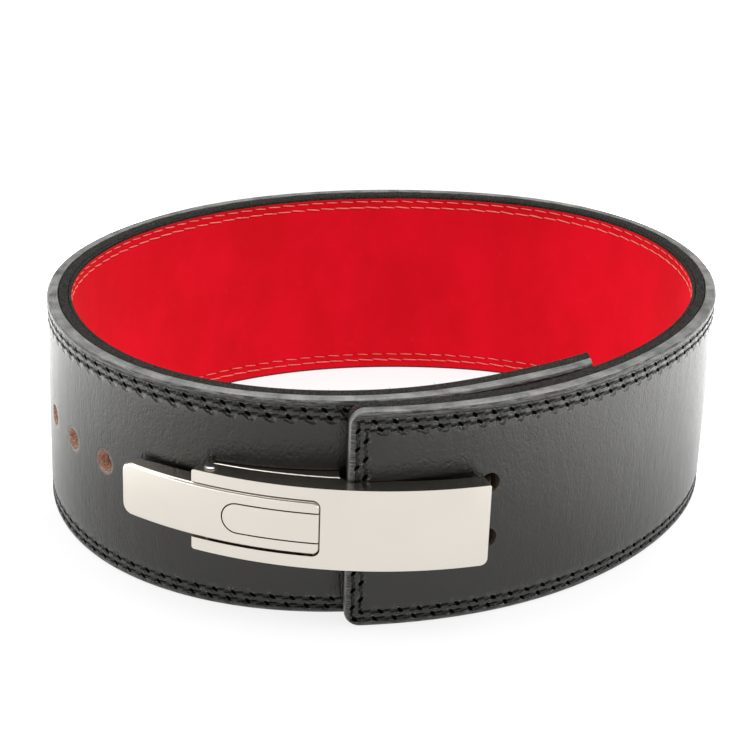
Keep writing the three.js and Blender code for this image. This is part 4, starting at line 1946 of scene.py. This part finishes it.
@dataclass
class Buckle:
    """The pressed steel buckle: base, lever, cover, pins and screws."""

    path: BucklePath
    middle: float = 50.0
    sheet: float = 2.0
    bend_radius: float = 1.3
    seat_gap: float = 0.3
    run_gap: float = 0.7
    end_gap: float = 0.25
    cover: tuple[float, float] = (-132.7, -5.8)
    lever: tuple[float, float] = (-169.2, -76.9)
    base: tuple[float, float] = (-127.4, -70.9)
    link_place: float = -126.3
    link_depth: float = 4.9
    fulcrum_place: float = -82.0
    tongue_place: float = -112.0
    cover_half: float = 18.5
    lever_half: float = 12.25
    tongue_half: float = 6.5
    tongue_cut: float = 0.6
    cover_depth: float = 10.9
    lever_depth: float = 9.6
    ear_inset: float = 1.1
    ear_round: float = 3.5
    screw_start: float = -45.2
    screw_pitch: float = 27.0
    flap_place: float = -65.7
    slice_step: float = 3.0
    stock: float = 16.0
    claw_spread: float = 13.0
    claw_half: float = 2.5
    covered: tuple[float, float] = (860.0, 960.0)
    cover_wall: tuple[tuple[float, float], ...] = (
        (0, 0.62),
        (0.06, 0.82),
        (0.29, 0.945),
        (0.52, 1),
        (0.7, 0.85),
        (1, 0.79),
    )
    lever_wall: tuple[tuple[float, float], ...] = (
        (0, 0.54),
        (0.15, 0.77),
        (0.46, 0.94),
        (0.94, 1),
        (1, 0.83),
    )

    def wall(
        self,
        rows: tuple[tuple[float, float], ...],
        span: tuple[float, float],
        deepest: float,
        place: Array,
    ) -> Array:
        """Depth of a piece's side walls.

        Args:
            rows: Share of the length against share of the deepest wall.
            span: Where the piece starts and ends.
            deepest: Its deepest wall.
            place: Places along it.

        Returns:
            The depth at each place.
        """
        share = (np.asarray(place) - span[0]) / (span[1] - span[0])
        return deepest * np.interp(share, [r[0] for r in rows], [r[1] for r in rows])

    def cover_wall_at(self, place: Array) -> Array:
        """Depth of the cover's side walls, kept clear of the flap.

        Args:
            place: Places along it.

        Returns:
            The depth at each place.
        """
        depth = self.wall(self.cover_wall, self.cover, self.cover_depth, place)
        room = self.path.rise(place, 0, 90) - self.seat_gap
        return np.where(place > self.flap_place - 1, np.minimum(depth, room), depth)

    def lever_wall_at(self, place: Array) -> Array:
        """Depth of the lever's side walls."""
        return self.wall(self.lever_wall, self.lever, self.lever_depth, place)

    def tray(
        self,
        name: str,
        span: tuple[float, float],
        half: float,
        rounds: tuple[float, float],
        wall: Callable[[Array], Array],
        closed: bool,
        top_round: float | None = None,
    ) -> bpy.types.Object:
        """A pressed tray, still flat.

        Args:
            name: The piece's name.
            span: Where it starts and ends.
            half: Half its width.
            rounds: Corner radii of its left and right end.
            wall: Depth of its walls at places along it.
            closed: Whether its ends are bent in too.
            top_round: Radius of its upper right corner, where it has its own.

        Returns:
            The tray.
        """
        start, end = span
        low, high = self.middle - half, self.middle + half
        piece = prism(name, panel(start, end, low, high, *rounds, top_round), Plane.FRONT, 0, self.stock)
        bent_from = -math.inf if closed else end - rounds[1] - 0.01
        round_front(piece, 0, self.bend_radius, 6, bent_from)
        inset = self.sheet
        over = -inset if closed else inset
        inner_rounds = tuple(max(r - inset, 0.4) if closed else 0 for r in rounds)
        hollow = prism(
            "hollow",
            panel(start - over, end + over, low + inset, high - inset, *inner_rounds),
            Plane.FRONT,
            inset,
            20,
        )
        round_front(hollow, inset, 0.35 if closed else 0.5, 3, -math.inf if closed else math.inf)
        carve(piece, hollow)
        places = np.linspace(start - 1, end + 1, 60)
        edge = [(float(x), float(y)) for x, y in zip(places, wall(places))]
        limit = prism("limit", edge + [(end + 1, 30), (start - 1, 30)], Plane.PLAN, low - 5, high + 5)
        carve(piece, limit)
        return piece

    def finish(self, piece: bpy.types.Object, span: tuple[float, float], edge: float) -> None:
        """Softens, slices and bends a flat piece, and shades it.

        Args:
            piece: The piece.
            span: Where it starts and ends.
            edge: Width of its softened edges.
        """
        soften(piece, edge)
        slice_along(piece, span[0], span[1], self.slice_step)
        bend(piece, self.path.bend)
        face_outward(piece.data)
        shade(piece, 45, weighted=True)

    def build_lever(self, steel: bpy.types.Material) -> bpy.types.Object:
        """The lever with the tongue cut in its face.

        Args:
            steel: Its finish.

        Returns:
            The lever.
        """
        piece = self.tray(
            "lever_plate", self.lever, self.lever_half, (5.0, 3.0), self.lever_wall_at, True
        )
        right = self.lever[1] - self.end_gap

        def slot(half: float, low: float, high: float) -> bpy.types.Object:
            """A slot with a round left end.

            Args:
                half: Half its width.
                low: Where it starts in depth.
                high: Where it ends.

            Returns:
                The slot.
            """
            outline = panel(
                self.tongue_place - half, right, self.middle - half, self.middle + half, half - 1e-3, 0
            )
            return prism("slot", outline, Plane.FRONT, low, high)

        cut = slot(self.tongue_half + self.tongue_cut, -1, self.sheet + 1)
        carve(cut, slot(self.tongue_half, -2, self.sheet + 2))
        carve(piece, cut)
        self.finish(piece, self.lever, 0.14)
        return dress(piece, steel, Body.LEVER, ["lever"])

    def claw_outline(self) -> Outline:
        """A claw in plan, from the cover's end into its hole.

        Returns:
            Corners of the outline, in order.
        """
        return [
            (-11.4, 0.6),
            (-7.4, 0.35),
            (-6.3, 1.4),
            (-1.0, 12.0),
            (2.0, 17.4),
            (2.3, 19.0),
            (1.2, 19.7),
            (-0.4, 18.6),
            (-3.6, 12.9),
            (-8.6, 3.4),
            (-9.6, 2.2),
            (-11.4, 1.9),
        ]

    def build_cover(self, steel: bpy.types.Material) -> bpy.types.Object:
        """The cover with the lever's window and its two claws.

        Args:
            steel: Its finish.

        Returns:
            The cover.
        """
        piece = self.tray(
            "cover", self.cover, self.cover_half, (1.2, 3.0), self.cover_wall_at, False, 0.9
        )
        reach = self.lever_half + self.run_gap
        window = prism(
            "window",
            panel(
                self.cover[0] - 9,
                self.lever[1] + self.end_gap,
                self.middle - reach,
                self.middle + reach,
                0,
                3.4,
            ),
            Plane.FRONT,
            -2,
            7,
        )
        carve(piece, window)
        for side in (-1, 1):
            z = self.middle + side * self.claw_spread
            ends = (z - self.claw_half, z + self.claw_half)
            claw = prism("claw", self.claw_outline(), Plane.PLAN, *ends)
            carve(piece, claw, "UNION")
        self.finish(piece, self.cover, 0.22)
        return dress(piece, steel, Body.COVER, ["cover_plate"])

    def base_arcs(self) -> Array:
        """Arc lengths of the base's cross-sections on the covered strap.

        Returns:
            The arc lengths, rising.
        """
        lap = self.path.strap.lap
        arcs = np.linspace(lap - 90, lap + 20, 500)
        plan = self.path.strap.at(arcs)[0]
        places = (self.path.turn_of(plan) - self.path.claw_turn) * self.path.radius
        ends = np.interp(self.base, places, arcs)
        return np.linspace(ends[0], ends[1], 30)

    def build_base(self, steel: bpy.types.Material) -> bpy.types.Object:
        """The base's channel, bent to the strap and reaching up to the cover.

        Args:
            steel: Its finish.

        Returns:
            The base.
        """
        arcs = self.base_arcs()
        strap = self.path.strap
        plan = strap.at(arcs)[0]
        out = np.hypot(plan[:, 0] - self.path.axis[0], plan[:, 1] - self.path.axis[1])
        places = (self.path.turn_of(plan) - self.path.claw_turn) * self.path.radius
        top = self.path.radius - out - self.cover_wall_at(places) - self.seat_gap
        rings = []
        half, sheet, gap = self.cover_half, self.sheet, self.seat_gap
        for arc, rise in zip(arcs, top):
            rise = max(rise, gap + sheet + 0.4)
            soft = 0.35
            wall = [
                (half, gap + 0.9),
                (half, rise - soft),
                (half - soft, rise),
                (half - sheet + soft, rise),
                (half - sheet, rise - soft),
                (half - sheet, gap + sheet + 0.2),
                (half - sheet - 0.3, gap + sheet),
            ]
            lower = [(-z, r) for z, r in reversed(wall)]
            foot = [(half - 0.9, gap), (half - 0.25, gap + 0.3)]
            ring = wall + lower + [(-z, r) for z, r in reversed(foot)] + foot
            rings.append([(arc, -r, self.middle + z) for z, r in ring])
        flat = np.array(rings, float)
        piece = loft("base", strap.bend(flat.reshape(-1, 3)).reshape(flat.shape))
        shade(piece, 40, weighted=True)
        return dress(piece, steel, Body.STRAP, ["base_plate"])

    def build_ears(self, steel: bpy.types.Material) -> bpy.types.Object:
        """The two lugs on the base that carry the lever's pin.

        Args:
            steel: Their finish.

        Returns:
            The lugs, as one piece.
        """
        centre = self.sheet + self.ear_round + self.seat_gap
        outline = [
            (self.fulcrum_place + self.ear_round * math.cos(t), centre - self.ear_round * math.sin(t))
            for t in np.linspace(0, math.pi, 15)
        ]
        deep = float(self.path.rise(np.array([self.fulcrum_place]), *self.covered)[0]) - 1.2
        outline += [(self.fulcrum_place - 7, deep), (self.fulcrum_place + 7, deep)]
        ears = []
        for side in (-1, 1):
            near = self.middle + side * (self.lever_half + self.ear_inset)
            far = near + side * self.sheet
            ears.append(prism("ears", outline, Plane.PLAN, min(near, far), max(near, far)))
        carve(ears[0], ears[1], "UNION")
        self.finish(ears[0], (self.fulcrum_place - 8, self.fulcrum_place + 8), 0.25)
        return dress(ears[0], steel, Body.STRAP)

    def mirrored(self, half: Outline) -> Outline:
        """A pin's profile from that of its upper end."""
        lower = [(r, self.middle - h) for r, h in reversed(half)]
        return lower + [(r, self.middle + h) for r, h in half]

    def build_pins(self, bright: bpy.types.Material) -> None:
        """The riveted link pin and the lever's fulcrum pin.

        Args:
            bright: Their finish.
        """
        link = self.path.bend(np.array([[self.link_place, self.link_depth, 0]]))[0]
        side = self.cover_half + self.seat_gap
        shape = ((1.8, -0.2), (2.5, 0), (2.7, 0.25), (2.35, 0.62), (1.3, 0.8), (0.05, 0.8))
        head = [(r, side + h) for r, h in shape]
        pin = upright("link_rivet", self.mirrored(head), 24, link)
        shade(pin, 50)
        dress(pin, bright, Body.COVER, ["link_pin"])
        depth = self.sheet + self.ear_round + self.seat_gap
        fulcrum = self.path.bend(np.array([[self.fulcrum_place, depth, 0]]))[0]
        end = self.lever_half + self.ear_inset + self.sheet
        tip = [(2.0, end - 0.3), (1.7, end), (0.05, end)]
        pin = upright("lever_pin", self.mirrored(tip), 24, fulcrum)
        shade(pin, 50)
        dress(pin, bright, Body.STRAP, ["fulcrum_pin"])

    def build_screws(self, bright: bpy.types.Material) -> None:
        """The post screws, each with a slotted head inside the waist.

        Args:
            bright: Their finish.
        """
        strap = self.path.strap
        nut = strap.thickness + self.seat_gap
        profile = [
            (0.05, -2.5),
            (3.4, -2.5),
            (4.5, -2.3),
            (4.8, -1.9),
            (4.6, -1.0),
            (3.0, -0.9),
            (3.0, nut),
            (5.9, nut),
            (6.0, nut + 0.3),
            (5.7, nut + 0.9),
            (4.6, nut + 1.3),
            (0.05, nut + 1.4),
        ]
        for number in (1, 2):
            arc = strap.lap + self.screw_start + (number - 1) * self.screw_pitch
            piece = lathe(f"screw_{number}", profile, 36, strap, arc, self.middle)
            for depth, width in ((nut + 1.5, 1.2), (-2.6, 1.2)):
                point, along, inward = (v[0] for v in strap.at(arc))
                slot = self.slot_cutter(point, along, inward, depth, width, 0.6 * number)
                carve(piece, slot)
            shade(piece, 35)
            dress(piece, bright, Body.STRAP, [f"post_screw_{number}"])

    def slot_cutter(
        self, point: Array, along: Array, inward: Array, depth: float, width: float, turn: float
    ) -> bpy.types.Object:
        """A bar that cuts a driver's slot across a screw.

        Args:
            point: The screw's axis on the strap's outer face.
            along: Direction along the strap.
            inward: Direction into the strap.
            depth: Where the slot's middle lies.
            width: The slot's width.
            turn: How far the slot is turned, in radians.

        Returns:
            The cutter.
        """
        length, half, side = 8.0, 0.7, width / 2
        bar = ((-length, -side), (length, -side), (length, side), (-length, side))
        corners = []
        for d in (-half, half):
            for a, b in bar:
                x = a * math.cos(turn) - b * math.sin(turn)
                z = a * math.sin(turn) + b * math.cos(turn)
                plan = point + along * x + inward * (depth + d)
                corners.append((plan[0], plan[1], self.middle + z))
        faces = [(0, 1, 2, 3), (4, 5, 6, 7), (0, 1, 5, 4), (1, 2, 6, 5), (2, 3, 7, 6), (3, 0, 4, 7)]
        return add_piece("slot", np.array(corners), faces)

    def build(self) -> None:
        """Builds and dresses the whole buckle."""
        steel = SatinSteel().make()
        bright = SatinSteel("bright_steel", (0.62, 0.61, 0.6, 1.0), 0.18).make()
        self.build_lever(steel)
        self.build_cover(steel)
        self.build_base(steel)
        self.build_ears(steel)
        self.build_pins(bright)
        self.build_screws(bright)


@dataclass
class Studio:
    """The white floor, soft lights and the camera."""

    elevation: float = 23.5
    distance: float = 900.2
    focal: float = 1965.0
    frame: float = 750.0
    roll: float = 2.139
    aim: tuple[float, float, float] = (-4.27, -34.7, 70.04)

    def build_camera(self) -> None:
        """Places the camera at the photograph's angle."""
        e = math.radians(self.elevation)
        right = np.array((1.0, 0.0, 0.0))
        up = np.array((0.0, math.sin(e), math.cos(e)))
        back = np.array((0.0, -math.cos(e), math.sin(e)))
        where = np.array(self.aim) + self.distance * back
        turn = Matrix(np.column_stack([right, up, back]).tolist()).to_4x4()
        data = bpy.data.cameras.new("camera")
        data.sensor_width = 36
        data.lens = self.focal * data.sensor_width / self.frame
        data.clip_start, data.clip_end = 0.05, 50
        camera = bpy.data.objects.new("camera", data)
        roll = Matrix.Rotation(math.radians(self.roll), 4, "Z")
        camera.matrix_world = Matrix.Translation((where * MM).tolist()) @ turn @ roll
        bpy.context.scene.collection.objects.link(camera)
        bpy.context.scene.camera = camera

    def build_floor(self) -> None:
        """A white floor that glows: painted light, even in front, where it also fills the belt's
        shadows, and much brighter at the sides and behind, where the strap's sides reflect it as sheen.
        """
        size = 6000.0
        corners = np.array([(-size, -size, 0), (size, -size, 0), (size, size, 0), (-size, size, 0)])
        floor = add_piece("floor", corners, [(0, 1, 2, 3)])
        shader = Shader("floor")
        where = shader.place()
        x = shader.add("ShaderNodeSeparateXYZ", {}, {0: where}, "X")
        y = shader.add("ShaderNodeSeparateXYZ", {}, {0: where}, "Y")
        # The floor glows brighter at the sides and behind, so that the strap's sides reflect it as
        # sheen: painted light.
        behind = y.ramp(-60, 260) * abs(x).ramp(130, 170)
        aside = x.ramp(110, 400).largest((0.0 - x).ramp(180, 420)).largest(behind)
        glow = shader.blend(aside, grey(0.8), grey(3.2))
        shader.set(
            Base_Color=grey(0.2),
            Roughness=0.8,
            Specular_IOR_Level=0.05,
            Emission_Color=glow,
            Emission_Strength=1.0,
        )
        floor.data.materials.append(shader.material)

    def light(self, name: str, where: tuple[float, float, float], size: float, power: float) -> None:
        """An area light that faces the belt.

        Args:
            name: The light's name.
            where: Its place, in mm.
            size: Its side, in mm.
            power: Its power, in watts.
        """
        data = bpy.data.lights.new(name, "AREA")
        data.shape = "SQUARE"
        data.size = size * MM
        data.energy = power
        lamp = bpy.data.objects.new(name, data)
        back = np.array(where) - np.array((0.0, 0.0, 50.0))
        direction = Vector(back.tolist()).to_track_quat("Z", "Y").to_matrix()
        lamp.matrix_world = Matrix.Translation([c * MM for c in where]) @ direction.to_4x4()
        bpy.context.scene.collection.objects.link(lamp)

    def build_lights(self) -> None:
        """A white surround with soft boxes above and to the sides."""
        world = bpy.data.worlds.new("studio")
        world.use_nodes = True
        background = world.node_tree.nodes["Background"]
        background.inputs["Color"].default_value = grey(1.0)
        background.inputs["Strength"].default_value = 0.3
        bpy.context.scene.world = world
        self.light("overhead", (0, 200, 1900), 2600, 62)
        self.light("left", (-1500, -300, 700), 900, 9)
        self.light("right", (1600, -200, 700), 900, 9)
        settings = bpy.context.scene.view_settings
        settings.view_transform = "Standard"
        settings.exposure = 0.0

    def build(self) -> None:
        """Builds the stage."""
        self.build_camera()
        self.build_floor()
        self.build_lights()


def main() -> None:
    """Builds the belt's looks and logs each piece's face count."""
    logging.basicConfig(level=logging.INFO, format="%(name)s %(message)s")
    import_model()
    Studio().build()
    path = StrapPath()
    Strap(path).build()
    Buckle(BucklePath(path)).build()


if __name__ == "__main__":
    main()
